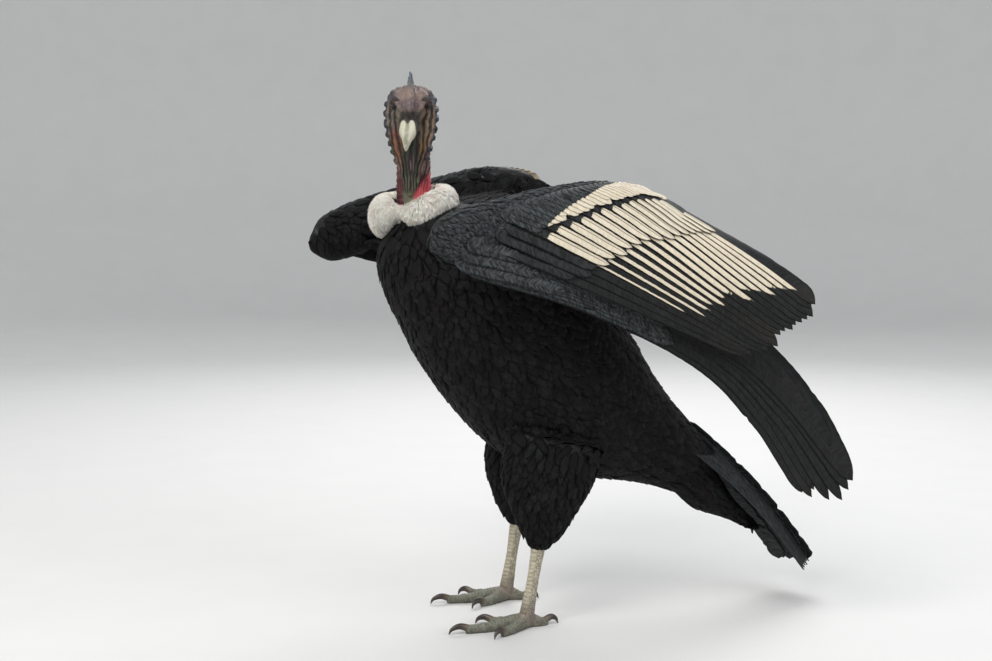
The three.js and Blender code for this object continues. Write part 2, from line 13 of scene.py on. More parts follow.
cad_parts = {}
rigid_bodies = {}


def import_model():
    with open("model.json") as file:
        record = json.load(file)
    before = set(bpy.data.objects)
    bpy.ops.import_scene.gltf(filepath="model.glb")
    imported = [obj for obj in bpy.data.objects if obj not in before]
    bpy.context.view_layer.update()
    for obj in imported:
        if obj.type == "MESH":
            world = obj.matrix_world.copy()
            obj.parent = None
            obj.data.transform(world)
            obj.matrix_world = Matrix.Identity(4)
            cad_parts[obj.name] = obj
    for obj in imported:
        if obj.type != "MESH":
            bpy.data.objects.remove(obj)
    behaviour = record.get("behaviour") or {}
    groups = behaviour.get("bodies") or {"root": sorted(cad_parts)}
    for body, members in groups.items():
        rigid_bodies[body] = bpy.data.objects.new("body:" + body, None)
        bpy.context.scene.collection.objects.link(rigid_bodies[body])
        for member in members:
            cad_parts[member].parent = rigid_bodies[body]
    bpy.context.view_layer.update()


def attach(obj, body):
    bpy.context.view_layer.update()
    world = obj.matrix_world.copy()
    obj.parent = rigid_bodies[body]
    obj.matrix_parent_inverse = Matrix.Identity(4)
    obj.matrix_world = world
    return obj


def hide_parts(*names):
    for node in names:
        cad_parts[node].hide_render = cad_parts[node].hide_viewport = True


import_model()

# Driving dimensions
BOX_CENTRE = np.array([-5.82, 107.33, 0.0])  # middle of the bird's box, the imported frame's origin
COAT = 6.5  # depth of the body's coat
WING_COAT = 4.5  # depth of the coat on the wings
FLIGHT_LIFT = 4.2  # how far the flight feathers lie over or under their sheet
REACH = 70  # how far from a sheet the skin over it is looked for
COVERED = 0.6  # how far back the map of a wing's sheet reaches, as v
OVERHANG = 0.03  # how far past a sheet's ends the rounding of its flesh runs, as u
HEAD_CENTRE = np.array([0.0, -217.0, 908.0])
HEAD_YAW = 74  # degrees the head turns to the bird's left
HEAD_PITCH = 33  # degrees the bill points below level
EYE = (14, 24.5, 14)  # ahead, left, over in the head's axes
EYE_RADIUS = 10.0
LID_BALL = 11.6  # radius of the flesh round the eye before the lids are cut
LID_RADIUS = 11.35  # from the eye's middle to the lids' outer face
RIM_RADIUS = 10.7  # to the lids' edges
GAP_RADIUS = 8.7  # to the skin behind the gap between the lids
CROWN_DROP = 6.0  # how much flatter the crown's skin is than the solid
DOWN_COAT = 11.0  # depth of the ruff's down
SECONDARIES = 17
PRIMARIES = 10
BAND_FEATHERS = 27  # the short white coverts in front of the greater ones
TERTIALS = 7
TAIL_FEATHERS = 12
PATCH = 0.003  # a tuft's size on the unwrapped skin
BODY_VOXEL = 0.0065  # size of the skin's faces, in metres
HEAD_VOXEL = 0.0016
FOOT_VOXEL = 0.0019
TRIES = 190000  # places tried for the coat's feathers
STRANDS = 6000  # strands in each half of the ruff's down
SEED = 11

X = np.array([1.0, 0.0, 0.0])
Y = np.array([0.0, 1.0, 0.0])
Z = np.array([0.0, 0.0, 1.0])


# Vectors and smooth functions
def unit(v):
    return v / np.maximum(np.linalg.norm(v, axis=-1, keepdims=True), 1e-9)


def mix(a, b, t):
    return a + (b - a) * t


def smooth(x, low, high):
    t = np.clip((x - low) / (high - low), 0, 1)
    return t * t * (3 - 2 * t)


def between(a, b, c, d, f):
    """A smooth curve from b to c, with f from 0 to 1, when a comes before them and d after."""
    return b + 0.5 * f * ((c - a) + f * ((2 * a - 5 * b + 4 * c - d) + f * (3 * (b - c) + d - a)))


def spline(points, t):
    """A smooth curve through the points, with t from 0 to 1. Points may differ for each t."""
    P = np.asarray(points, float)
    t = np.asarray(t, float)
    last = len(P) - 1
    P = np.concatenate([2 * P[:1] - P[1:2], P, 2 * P[-1:] - P[-2:-1]])
    x = np.clip(t, 0, 1) * last
    i = np.minimum(x.astype(int), last - 1)
    each = () if P.ndim == 2 else (np.arange(len(i)),)
    return between(*(P[(i + k, *each)] for k in range(4)), (x - i)[..., None])


def values(numbers, t):
    return spline(np.asarray(numbers, float)[:, None], t)[..., 0]


def to_scene(points):
    return (np.asarray(points) - BOX_CENTRE) / 1000


def hashed(cells, seed):
    """Random numbers from 0 to 1, one for each lattice cell."""
    x, y, z = np.moveaxis(cells, -1, 0)
    n = (x * 73856093) ^ (y * 19349663) ^ (z * 83492791) ^ (seed * 2654435761)
    n = (n ^ (n >> 13)) * 1274126177 & 0x7FFFFFFF
    return ((n ^ (n >> 16)) & 0xFFFFF) / 0xFFFFF


def noise(points, size, seed=1):
    """Soft noise from -1 to 1 with lumps of that size."""
    p = np.asarray(points) / size
    base = np.floor(p).astype(np.int64)
    f = p - base
    f = f * f * (3 - 2 * f)
    total = 0
    for corner in range(8):
        step = np.array([corner & 1, corner >> 1 & 1, corner >> 2 & 1])
        weight = np.prod(np.where(step, f, 1 - f), axis=-1)
        total = total + weight * hashed(base + step, seed)
    return 2 * total - 1


def pebbles(points, size, seed=1):
    """Rounded lumps of about that size: 1 on each one's top, 0 in the creases between them."""
    p = np.asarray(points) / size
    base = np.floor(p).astype(np.int64)
    near = np.full(p.shape[:-1], 9.0)
    second = near.copy()
    for corner in range(27):
        cell = base + np.array([corner % 3 - 1, corner // 3 % 3 - 1, corner // 9 - 1])
        centre = cell + np.stack([hashed(cell, seed + k) for k in range(3)], -1) * 0.8 + 0.1
        far = np.linalg.norm(p - centre, axis=-1)
        second = np.minimum(second, np.maximum(near, far))
        near = np.minimum(near, far)
    return smooth(second - near, 0, 0.45)


# Meshes
def build_mesh(name, points, faces, point_data=(), uv=None):
    """A mesh from points in the bird's axes and arrays of faces, each with its own number of corners."""
    mesh = bpy.data.meshes.new(name)
    points = to_scene(points)
    faces = [np.asarray(f, np.int32) for f in faces if len(f)]
    corners = np.concatenate([f.ravel() for f in faces])
    counts = np.concatenate([np.full(len(f), f.shape[1], np.int32) for f in faces])
    mesh.vertices.add(len(points))
    mesh.vertices.foreach_set("co", points.astype(np.float32).ravel())
    mesh.loops.add(len(corners))
    mesh.loops.foreach_set("vertex_index", corners)
    mesh.polygons.add(len(counts))
    mesh.polygons.foreach_set("loop_start", np.concatenate([[0], np.cumsum(counts)[:-1]]).astype(np.int32))
    mesh.polygons.foreach_set("use_smooth", np.ones(len(counts), bool))
    mesh.update(calc_edges=True)
    for key, kind, data in point_data:
        set_data(mesh, key, kind, data)
    if uv is not None:
        layer = mesh.uv_layers.new(name="OFBake")
        layer.uv.foreach_set("vector", uv[corners].astype(np.float32).ravel())
    return mesh


def set_data(mesh, key, kind, data):
    """Numbers kept on the mesh's points, which its material reads."""
    stored = mesh.attributes.new(key, kind, "POINT")
    field = {"FLOAT": "value", "FLOAT_VECTOR": "vector", "FLOAT_COLOR": "color"}[kind]
    stored.data.foreach_set(field, np.asarray(data, np.float32).ravel())


def read(items, key, width, kind=np.float32):
    """The numbers that Blender keeps under that key, in rows of that width."""
    found = np.empty(len(items) * width, kind)
    items.foreach_get(key, found)
    return found.reshape(-1, width)


def points_of(mesh):
    return read(mesh.vertices, "co", 3).astype(float) * 1000 + BOX_CENTRE


def normals_of(mesh):
    return read(mesh.vertex_normals, "vector", 3).astype(float)


def faces_of(mesh):
    """The corners of each face of a remeshed surface, which has only quads."""
    return read(mesh.loops, "vertex_index", 1, np.int32).reshape(-1, 4)


def move_points(mesh, points):
    mesh.vertices.foreach_set("co", to_scene(points).astype(np.float32).ravel())
    mesh.update()


def add_object(mesh, material=None):
    made = bpy.data.objects.new(mesh.name, mesh)
    bpy.context.scene.collection.objects.link(made)
    if material:
        mesh.materials.clear()
        mesh.materials.append(material)
    return made


def piece(mesh, material, slot, *nodes):
    """An object that rides on the bird, takes that finish and stands for these solids."""
    made = add_object(mesh, material)
    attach(made, "root")
    if nodes:
        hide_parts(*nodes)
    return made


def after_modifiers(made):
    return bpy.data.meshes.new_from_object(made.evaluated_get(bpy.context.evaluated_depsgraph_get()))


def fused(name, shells, voxel, passes):
    """One smooth skin over shells that overlap, made of faces about as large as voxel, in metres."""
    made = add_object(build_mesh(name, *joined(shells)))
    remesh = made.modifiers.new("remesh", "REMESH")
    remesh.mode, remesh.voxel_size = "VOXEL", voxel
    relax = made.modifiers.new("relax", "SMOOTH")
    relax.factor, relax.iterations = 0.5, passes
    result = after_modifiers(made)
    bpy.data.objects.remove(made)
    return result


def with_alpha(colour):
    return np.concatenate([colour, np.ones((len(colour), 1))], 1)


def rgb(r, g, b):
    """A display colour, 0 to 255, as linear light."""
    c = np.array([r, g, b]) / 255
    return np.where(c < 0.04045, c / 12.92, ((c + 0.055) / 1.055) ** 2.4)


def all_of(points, *colour):
    """That colour at every point."""
    return np.ones((len(points), 3)) * rgb(*colour)


def wash(colour, weight, *tint):
    """The colours, mixed with that tint where the weight is high."""
    return mix(colour, rgb(*tint), weight[:, None])


def tinted(name, points, faces, colour):
    """A mesh that carries a colour at each of its points."""
    return build_mesh(name, points, faces, [("tint", "FLOAT_COLOR", with_alpha(np.clip(colour, 0, 1)))])


# Closed shapes from a surface of t, along it, and a, in turns round it
def tube_faces(count, stations, ring):
    """Quads and end faces of count tubes. Their points come tube by tube, by station and round each."""
    f, k, r = np.meshgrid(np.arange(count), np.arange(stations - 1), np.arange(ring), indexing="ij")
    one = (f * stations + k) * ring + r
    two = (f * stations + k) * ring + (r + 1) % ring
    quads = np.stack([one, two, two + ring, one + ring], -1).reshape(-1, 4)
    first = np.arange(count)[:, None] * stations * ring + np.arange(ring)
    return quads, np.concatenate([first[:, ::-1], first + (stations - 1) * ring])


def turned_over(quads):
    return quads[:, [0, 3, 2, 1]]


def inside_out(points, quads, middle):
    corner = points[quads] - middle
    return np.einsum("ij,ij->i", corner[:, 0], np.cross(corner[:, 1], corner[:, 2])).sum() < 0


def shell(surface, rings, sides, t0=0.0, t1=1.0):
    """Points, quads and end triangles of a closed tube-like surface."""
    t, a = np.meshgrid(np.linspace(t0, t1, rings), np.arange(sides) / sides, indexing="ij")
    points = surface(t.ravel(), a.ravel())
    quads = tube_faces(1, rings, sides)[0]
    first = np.arange(sides)
    after = (first + 1) % sides
    top = (rings - 1) * sides
    low, high = np.full(sides, len(points)), np.full(sides, len(points) + 1)
    caps = np.concatenate([
        np.stack([after, first, low], 1),
        np.stack([first + top, after + top, high], 1),
    ])
    points = np.concatenate([points, [points[:sides].mean(0), points[-sides:].mean(0)]])
    if inside_out(points, quads, points.mean(0)):
        quads, caps = quads[:, ::-1], caps[:, ::-1]
    return points, quads, caps


def joined(shells):
    """Several shells as one set of points, and the lists of their quads and end triangles."""
    points, quads, caps, start = [], [], [], 0
    for p, q, c in shells:
        points.append(p)
        quads.append(q + start)
        caps.append(c + start)
        start += len(p)
    return np.concatenate(points), [np.concatenate(quads), np.concatenate(caps)]


def tube(path, sizes, up, grow=0.0):
    """A tube with elliptical rings. sizes are half widths across and along up."""
    path, sizes, up = np.asarray(path, float), np.asarray(sizes, float), np.asarray(up, float)
    step = 1e-4

    def surface(t, a):
        ahead = unit(spline(path, np.minimum(t + step, 1)) - spline(path, np.maximum(t - step, 0)))
        across = unit(np.cross(ahead, up))
        over = np.cross(across, ahead)
        half = np.maximum(spline(sizes, t) + grow, 0.5)
        angle = 2 * np.pi * a
        side = across * (half[..., :1] * np.cos(angle)[..., None])
        return spline(path, t) + side + over * (half[..., 1:] * np.sin(angle)[..., None])

    return surface


# The trunk: stations from the neck to the tail, each with its ventral point, dorsal point and half width
TRUNK = np.array([
    [-246, 716, -168, 742, 54],
    [-275, 664, -124, 742, 92],
    [-271, 600, -64, 724, 122],
    [-240, 530, 12, 684, 138],
    [-198, 452, 82, 624, 144],
    [-134, 366, 146, 560, 138],
    [-60, 296, 192, 500, 126],
    [28, 256, 228, 440, 106],
    [118, 242, 264, 392, 82],
    [206, 228, 306, 344, 62],
    [282, 206, 340, 306, 44],
    [330, 190, 372, 276, 24],
], float)
FULLNESS = 2.15  # 2 is an ellipse; more is fuller


def trunk(grow):
    def bow(c):
        return np.sign(c) * np.abs(c) ** (2 / FULLNESS)

    def surface(t, a):
        s = spline(TRUNK, t)
        nothing = np.zeros_like(s[..., 0])
        low = np.stack([nothing, s[..., 0], s[..., 1]], -1)
        high = np.stack([nothing, s[..., 2], s[..., 3]], -1)
        half = (high - low) / 2
        half = half + unit(half) * grow
        angle = 2 * np.pi * a
        side = X * ((s[..., 4] + grow) * bow(np.cos(angle)))[..., None]
        return (low + high) / 2 + half * bow(np.sin(angle))[..., None] + side

    return surface


# The ruff: a collar of down, thin on the side the head is turned to
RUFF_CENTRE = np.array([0.0, -213.0, 724.0])
RUFF_RING = 52  # radius of the collar's middle line
# angle from straight ahead towards the left, height of the middle line, half its height
RUFF_STATIONS = np.array([
    [-100, 730, 36], [-55, 724, 38], [-15, 718, 39], [22, 722, 31], [50, 724, 13], [78, 720, 28],
    [110, 730, 33], [150, 738, 34], [200, 742, 34],
], float)


def closed(points, turns):
    """A smooth closed curve through the points."""
    P = np.asarray(points, float)
    n = len(P)
    x = (turns % 1) * n
    i = x.astype(int) % n
    return between(*(P[(i + k - 1) % n] for k in range(4)), (x - np.floor(x))[..., None])


def ruff(grow):
    """t runs round the neck, and a over the collar from its inner top to its inner underside."""
    angle = np.radians(RUFF_STATIONS[:, 0])
    line = np.stack([
        RUFF_RING * np.sin(angle), RUFF_CENTRE[1] - RUFF_RING * np.cos(angle), RUFF_STATIONS[:, 1],
    ], 1)

    def surface(t, a):
        middle = closed(line, t)
        half = closed(RUFF_STATIONS[:, 2:], t)[..., 0]
        outward = unit((middle - RUFF_CENTRE) * (X + Y))
        turn = np.pi * mix(0.75, -0.65, a)
        wide = np.maximum(np.minimum(half * 0.85, 28) + grow, 4)
        side = outward * (wide * np.cos(turn))[..., None]
        return middle + side + Z * (np.maximum(half + grow, 5) * np.sin(turn))[..., None]

    return surface


# The wings. On every sheet u runs across the feathers, from the outermost one inwards, and v along them.
class Wing:
    """
    side 1 is the left one. roll: the forearm's flesh, as places with half widths across and upwards.
    shoulder: where the upper arm's skin meets the body, fore and aft. arm, hand: the rows of their sheets.
    """

    def __init__(self, side, wrist, elbow, roll, shoulder, arm, hand):
        self.side = side
        self.name = "left" if side > 0 else "right"
        self.wrist, self.elbow = np.array(wrist, float), np.array(elbow, float)
        self.roll = np.array(roll, float)
        self.fore, self.aft = (np.array(p, float) for p in shoulder)
        self.arm = Sheet(arm, -side)
        self.hand = Sheet(hand, -side)


class Sheet:
    """A surface through rows of points. facing 1 or -1 says which side of it is the outer one."""

    def __init__(self, rows, facing):
        self.rows = np.array(rows, float)
        self.facing = facing

    def at(self, u, v):
        lines = np.array([spline(row, u) for row in self.rows])
        return spline(lines, v)

    def out(self, u, v):
        step = 1e-3
        u, v = np.clip(u, step, 1 - step), np.clip(v, step, 1 - step)
        across = self.at(u + step, v) - self.at(u - step, v)
        along = self.at(u, v + step) - self.at(u, v - step)
        return unit(np.cross(across, along)) * self.facing


WINGS = [
    Wing(
        1, [272, -206, 690], [190, 110, 744],
        [
            [282, -258, 666, 10, 12], [281, -232, 677, 32, 42], [276, -196, 686, 36, 49],
            [262, -130, 706, 34, 46], [244, -52, 726, 32, 43], [222, 30, 742, 29, 38],
            [204, 96, 748, 24, 31], [198, 156, 746, 10, 14],
        ],
        [[84, -196, 668], [100, -30, 682]],
        [
            [[284, -226, 690], [262, -116, 744], [228, 14, 766], [196, 128, 760]],
            [[300, -62, 628], [296, 30, 676], [276, 132, 702], [252, 214, 704]],
            [[308, 100, 560], [314, 175, 590], [320, 245, 614], [306, 305, 640]],
            [[312, 270, 488], [326, 318, 500], [334, 362, 530], [337, 394, 572]],
        ],
        [
            [[286, -240, 644], [288, -230, 658], [288, -220, 672], [288, -205, 688]],
            [[288, 20, 566], [290, 5, 590], [292, -15, 614], [294, -34, 642]],
            [[286, 240, 446], [286, 274, 460], [286, 287, 484], [288, 205, 578]],
            [[292, 392, 246], [285, 455, 222], [276, 508, 257], [286, 341, 470]],
        ],
    ),
    Wing(
        -1, [-286, -290, 694], [-198, 54, 772],
        [
            [-300, -346, 662, 10, 12], [-298, -316, 672, 32, 44], [-291, -264, 694, 36, 53],
            [-278, -190, 722, 34, 50], [-258, -100, 752, 33, 46], [-236, -20, 774, 31, 43],
            [-216, 42, 778, 27, 36], [-206, 98, 770, 12, 14],
        ],
        [[-84, -196, 668], [-100, -30, 682]],
        [
            [[-300, -306, 692], [-276, -175, 758], [-240, -50, 794], [-206, 68, 788]],
            [[-318, -149, 634], [-310, -25, 697], [-288, 72, 732], [-262, 158, 736]],
            [[-326, 13, 566], [-328, 120, 611], [-330, 185, 644], [-316, 249, 674]],
            [[-330, 180, 510], [-342, 232, 524], [-348, 286, 556], [-347, 338, 606]],
        ],
        [
            [[-303, -310, 660], [-304, -304, 668], [-304, -298, 676], [-303, -290, 684]],
            [[-306, -75, 606], [-308, -85, 620], [-310, -100, 634], [-312, -120, 646]],
            [[-304, 180, 526], [-304, 205, 546], [-304, 195, 572], [-312, 60, 596]],
            [[-292, 396, 460], [-290, 446, 472], [-285, 462, 506], [-308, 235, 548]],
        ],
    ),
]
# how far back the flesh and the coverts at the front reach, as v, and how deep they are
ARM_FLESH = (0.42, 20.0)
HAND_FLESH = (0.36, 15.0)
ARM_PAD = (0.5, 20.0)
HAND_PAD = (0.42, 15.0)


def rounded(t):
    """How deep a wing's front is over the span: full except near both ends."""
    return np.sqrt(np.maximum(0.04, 1 - np.abs(2 * t - 1) ** 6))


def far_back(until, round_off):
    """How far back the flesh reaches, as v: less near both ends."""
    return until * mix(0.7, 1, round_off)


def thinned(q):
    """How much of its depth the flesh keeps, with q from 0 in front to 1 at its back edge."""
    return 1 - 0.7 * smooth(q, 0.1, 1)


def padding(sheet, until, deep, thinner):
    """The flesh at a wing's front: t runs over the span, and a round it from the leading edge."""

    def surface(t, a):
        u = np.clip(mix(-OVERHANG, 1 + OVERHANG, t), 0, 1)
        round_off = rounded(t)
        back = far_back(until, round_off)
        angle = 2 * np.pi * a
        v = back * (1 - np.cos(angle)) / 2
        swell = np.sin(angle) * np.maximum(deep * round_off * thinned(v / back) - thinner, 0.6)
        ahead = unit(sheet.at(u, 0 * v) - sheet.at(u, 0 * v + 0.05))
        lead = np.maximum(0, np.cos(angle)) * 0.35 * deep * round_off - np.cos(angle) * thinner
        return sheet.at(u, v) + sheet.out(u, v) * swell[..., None] + ahead * lead[..., None]

    return surface


def slab(front, back, thickness, grow):
    """The flesh between two edges, such as the upper arm and its skin fold."""
    front, back = np.asarray(front, float), np.asarray(back, float)
    step = 1e-4

    def surface(t, a):
        F, B = spline(front, t), spline(back, t)
        low, high = np.maximum(t - step, 0), np.minimum(t + step, 1)
        along = spline(front, high) - spline(front, low) + spline(back, high) - spline(back, low)
        half = (F - B) / 2
        over = unit(np.cross(half, along))
        half = half + unit(half) * grow
        angle = 2 * np.pi * a
        deep = values(thickness, t) + grow
        return (F + B) / 2 + half * np.cos(angle)[..., None] + over * (deep * np.sin(angle))[..., None]

    return surface


def upper_arm(wing, grow):
    front = [wing.fore, mix(wing.fore, wing.wrist, 0.5) + [0, 26, 6], wing.wrist]
    back = [wing.aft, mix(wing.aft, wing.elbow, 0.5) + [0, 0, 14], wing.elbow]
    return slab(front, back, [40, 34, 26, 18], grow)


def forearm(wing, grow):
    return tube(wing.roll[:, :3], wing.roll[:, 3:], Z, grow)


# Legs: each has its foot's place, and the ankle where the feathered leg ends
FOOT_HEIGHT = 24


class Leg:
    def __init__(self, side, foot, ankle, hip):
        self.side = side
        self.name = "left" if side > 0 else "right"
        self.foot = np.array([*foot, FOOT_HEIGHT], float)
        self.ankle, self.hip = np.array(ankle, float), np.array(hip, float)

    def thigh(self, grow):
        A, H = self.ankle, self.hip
        path = [H, [H[0], A[1] + 16, 255], [A[0], A[1] + 8, 198], A - [0, 0, 6]]
        return tube(path, [[60, 92], [54, 84], [35, 56], [13, 17]], Y, grow)

    def shank(self):
        A, F = self.ankle, self.foot
        path = [A + [0, 4, 14], A, mix(A, F, 0.5), F + [0, 0, 4], F + [0, -4, -10]]
        return tube(path, [[11, 12], [11.5, 13], [9, 10.5], [12, 13], [12, 11]], Y)

    def way(self, heading):
        """Along the floor in that heading, in degrees outwards from straight ahead."""
        turn = math.radians(heading)
        return np.array([self.side * math.sin(turn), -math.cos(turn), 0])

    def on_toe(self, heading, distance, height):
        return self.foot * [1, 1, 0] + self.way(heading) * distance + [0, 0, height]

    def digit(self, heading, length, half):
        steps = ((0, 14), (length * 0.35, 10.5), (length * 0.7, 6.8), (length + 2, 7.5))
        path = [self.on_toe(heading, *step) for step in steps]
        return tube(path, [[half + 2, 14], [half, 12], [half * 0.95, 9], [half * 0.7, 8]], Z)

    def claw(self, heading, length, claw_length):
        steps = ((-4, 9), (claw_length * 0.35, 14), (claw_length * 0.75, 10), (claw_length * 0.92, 1.5))
        return [self.on_toe(heading, length + d, h) for d, h in steps]


LEGS = [
    Leg(1, [95, -35], [95, -14, 146], [88, 20, 330]),
    Leg(-1, [-95, -14], [-95, 6, 150], [-88, 44, 330]),
]
# name, heading in degrees outwards from straight ahead, length, half width, claw length
TOES = [
    ("inner", -30, 66, 8.5, 30),
    ("middle", 4, 112, 9.5, 36),
    ("outer", 38, 74, 8, 27),
    ("hind", 188, 38, 7, 24),
]

# The head's axes: ahead along the bill, left, and over the crown. Folds hang straight down from it.
YAW, PITCH = math.radians(HEAD_YAW), math.radians(HEAD_PITCH)
FACING = np.array([math.sin(YAW), -math.cos(YAW), 0.0])
AHEAD = FACING * math.cos(PITCH) - Z * math.sin(PITCH)
LEFT = unit(np.cross(Z, AHEAD))
OVER = np.cross(AHEAD, LEFT)
HEAD_AXES = np.array([AHEAD, LEFT, OVER])


def on_head(*points):
    return HEAD_CENTRE + np.array(points, float) @ HEAD_AXES


def on_face(*points):
    """Points by their place ahead of the head's middle, to its left, and height above the floor."""
    P = np.array(points, float)
    found = HEAD_CENTRE + P[:, :1] * FACING + P[:, 1:2] * LEFT
    found[:, 2] = P[:, 2]
    return found


def in_head(points):
    return (points - HEAD_CENTRE) @ HEAD_AXES.T


# The sheets that carry the long feathers of the back and the tail
class Span:
    """A surface from a root curve to a tip curve. u runs across the feathers and v along them."""

    def __init__(self, root, tip, bow, out):
        self.root, self.tip, self.bow, self.out = root, tip, bow, out

    def at(self, u, v):
        return mix(self.root(u), self.tip(u), v[..., None]) + self.bow(u, v)


def tertial_span(wing):
    side, aft, elbow = wing.side, wing.aft, wing.elbow
    roots = np.array([aft + [side * 6, -10, 0], mix(aft, elbow, 0.5), mix(elbow, aft, 0.04)])
    last = wing.arm.at(np.array([1.0]), np.array([0.86]))[0] + [side * -14, -6, -12]
    tips = np.array([[side * 112, aft[1] + 250, 540], [side * 168, aft[1] + 300, 560], last])

    def root(u):
        return spline(roots, u)

    def tip(u):
        return spline(tips, u)

    def out(u, v):
        step = 1e-3
        along = root(np.clip(u + step, 0, 1)) - root(np.clip(u - step, 0, 1))
        return unit(np.cross(along, tip(u) - root(u))) * side

    def bow(u, v):
        return out(u, v) * (10 * np.sin(np.pi * v))[..., None]

    return Span(root, tip, bow, out)


def tail_span():
    """u runs from -1 on the right to 1 on the left."""

    def root(u):
        far = np.abs(u)
        return np.stack([40 * u, 290 - 10 * far, 352 - 46 * far], -1)

    def tip(u):
        far = np.abs(u)
        return np.stack([58 * u, 566 - 42 * far, 58 - 6 * far], -1)

    def out(u, v):
        lean = np.sign(u) * 0.8 * smooth(np.abs(u), 0, 0.2)
        return unit(np.stack([lean, 0.5 + 0 * u, 0.5 + 0 * u], -1))

    def bow(u, v):
        return np.array([0, 0.7, 0.7]) * (16 * np.sin(np.pi * v))[..., None]

    return Span(root, tip, bow, out)


# Feathers: each is a closed thin vane, with stations along its spine and a ring of points round each
RING_WIDE = np.array([-1, -0.7, -0.4, -0.07, 0.0, 0.07, 0.4, 0.72, 1, 0.8, 0.35, 0.0, -0.35, -0.75])
RING_RISE = np.array([0, 0.5, 0.8, 0.85, 1.5, 0.85, 0.8, 0.5, 0, -0.4, -0.5, -0.9, -0.5, -0.4])
SMALL_WIDE = np.array([-1, -0.5, 0, 0.5, 1, 0.0])
SMALL_RISE = np.array([0, 0.7, 1.2, 0.7, 0, -0.6])


class Plumes:
    """Feathers gathered for one joined mesh."""

    def __init__(self):
        self.points, self.quads, self.ends, self.vane, self.look, self.uv = [], [], [], [], [], []
        self.count = 0

    def add(self, centre, across, out, left, right, wide, rise, thick, bend, tilt, mark, sheen_tone, uv, rng):
        """
        centre, across, out: points and unit vectors, feathers x stations x 3; across points to the outer web.
        left, right: the outer and the inner web's width; wide, rise: the ring; mark: how white each point is.
        """
        count, stations = left.shape
        ring = len(wide)
        span = np.where(wide < 0, left[..., None], right[..., None]) * np.abs(wide)
        shift = np.where(wide < 0, span, -span)
        limit = (left + right)[..., None] / 2
        fall = bend * (span / np.maximum(limit, 0.1)) ** 2
        height = rise * thick[..., None] + tilt * shift - fall
        points = centre[:, :, None] + across[:, :, None] * shift[..., None]
        points = points + out[:, :, None] * height[..., None]
        quads, ends = tube_faces(count, stations, ring)
        turn = np.einsum("fkj,fkj->fk", np.cross(across, np.gradient(centre, axis=1)), out).mean()
        if turn > 0:
            quads, ends = quads[:, ::-1], ends[:, ::-1]
        length = np.linalg.norm(np.diff(centre, axis=1), axis=-1)
        run = np.concatenate([np.zeros((count, 1)), np.cumsum(length, axis=1)], axis=1) / 1000
        chance = rng.random(count)

        def layer(*parts):
            whole = np.ones((count, stations, ring))
            return np.stack([part * whole for part in parts], -1).reshape(-1, 3)

        self.vane.append(layer(run[..., None], wide, chance[:, None, None]))
        self.look.append(layer(mark, sheen_tone, (run / run[:, -1:])[..., None]))
        self.uv.append(uv.reshape(-1, 2))
        self.points.append(points.reshape(-1, 3))
        self.quads.append(quads + self.count)
        self.ends.append((ring, ends + self.count))
        self.count += count * stations * ring

    def mesh(self, name):
        ends = {}
        for ring, found in self.ends:
            ends.setdefault(ring, []).append(found)
        faces = [np.concatenate(self.quads), *(np.concatenate(found) for found in ends.values())]
        data = [
            ("vane", "FLOAT_VECTOR", np.concatenate(self.vane)),
            ("look", "FLOAT_VECTOR", np.concatenate(self.look)),
        ]
        return build_mesh(name, np.concatenate(self.points), faces, data, np.concatenate(self.uv))


def frayed(rng, count, stations, depth, gaps):
    """A web's share of its full width along each feather: slightly uneven, with a few splits."""
    width = 1 - depth * rng.random((count, stations)) ** 2
    for _ in range(gaps):
        where = rng.integers(stations // 3, stations - 1, count)
        width[np.arange(count), where] *= rng.uniform(0.72, 0.95, count)
    return width


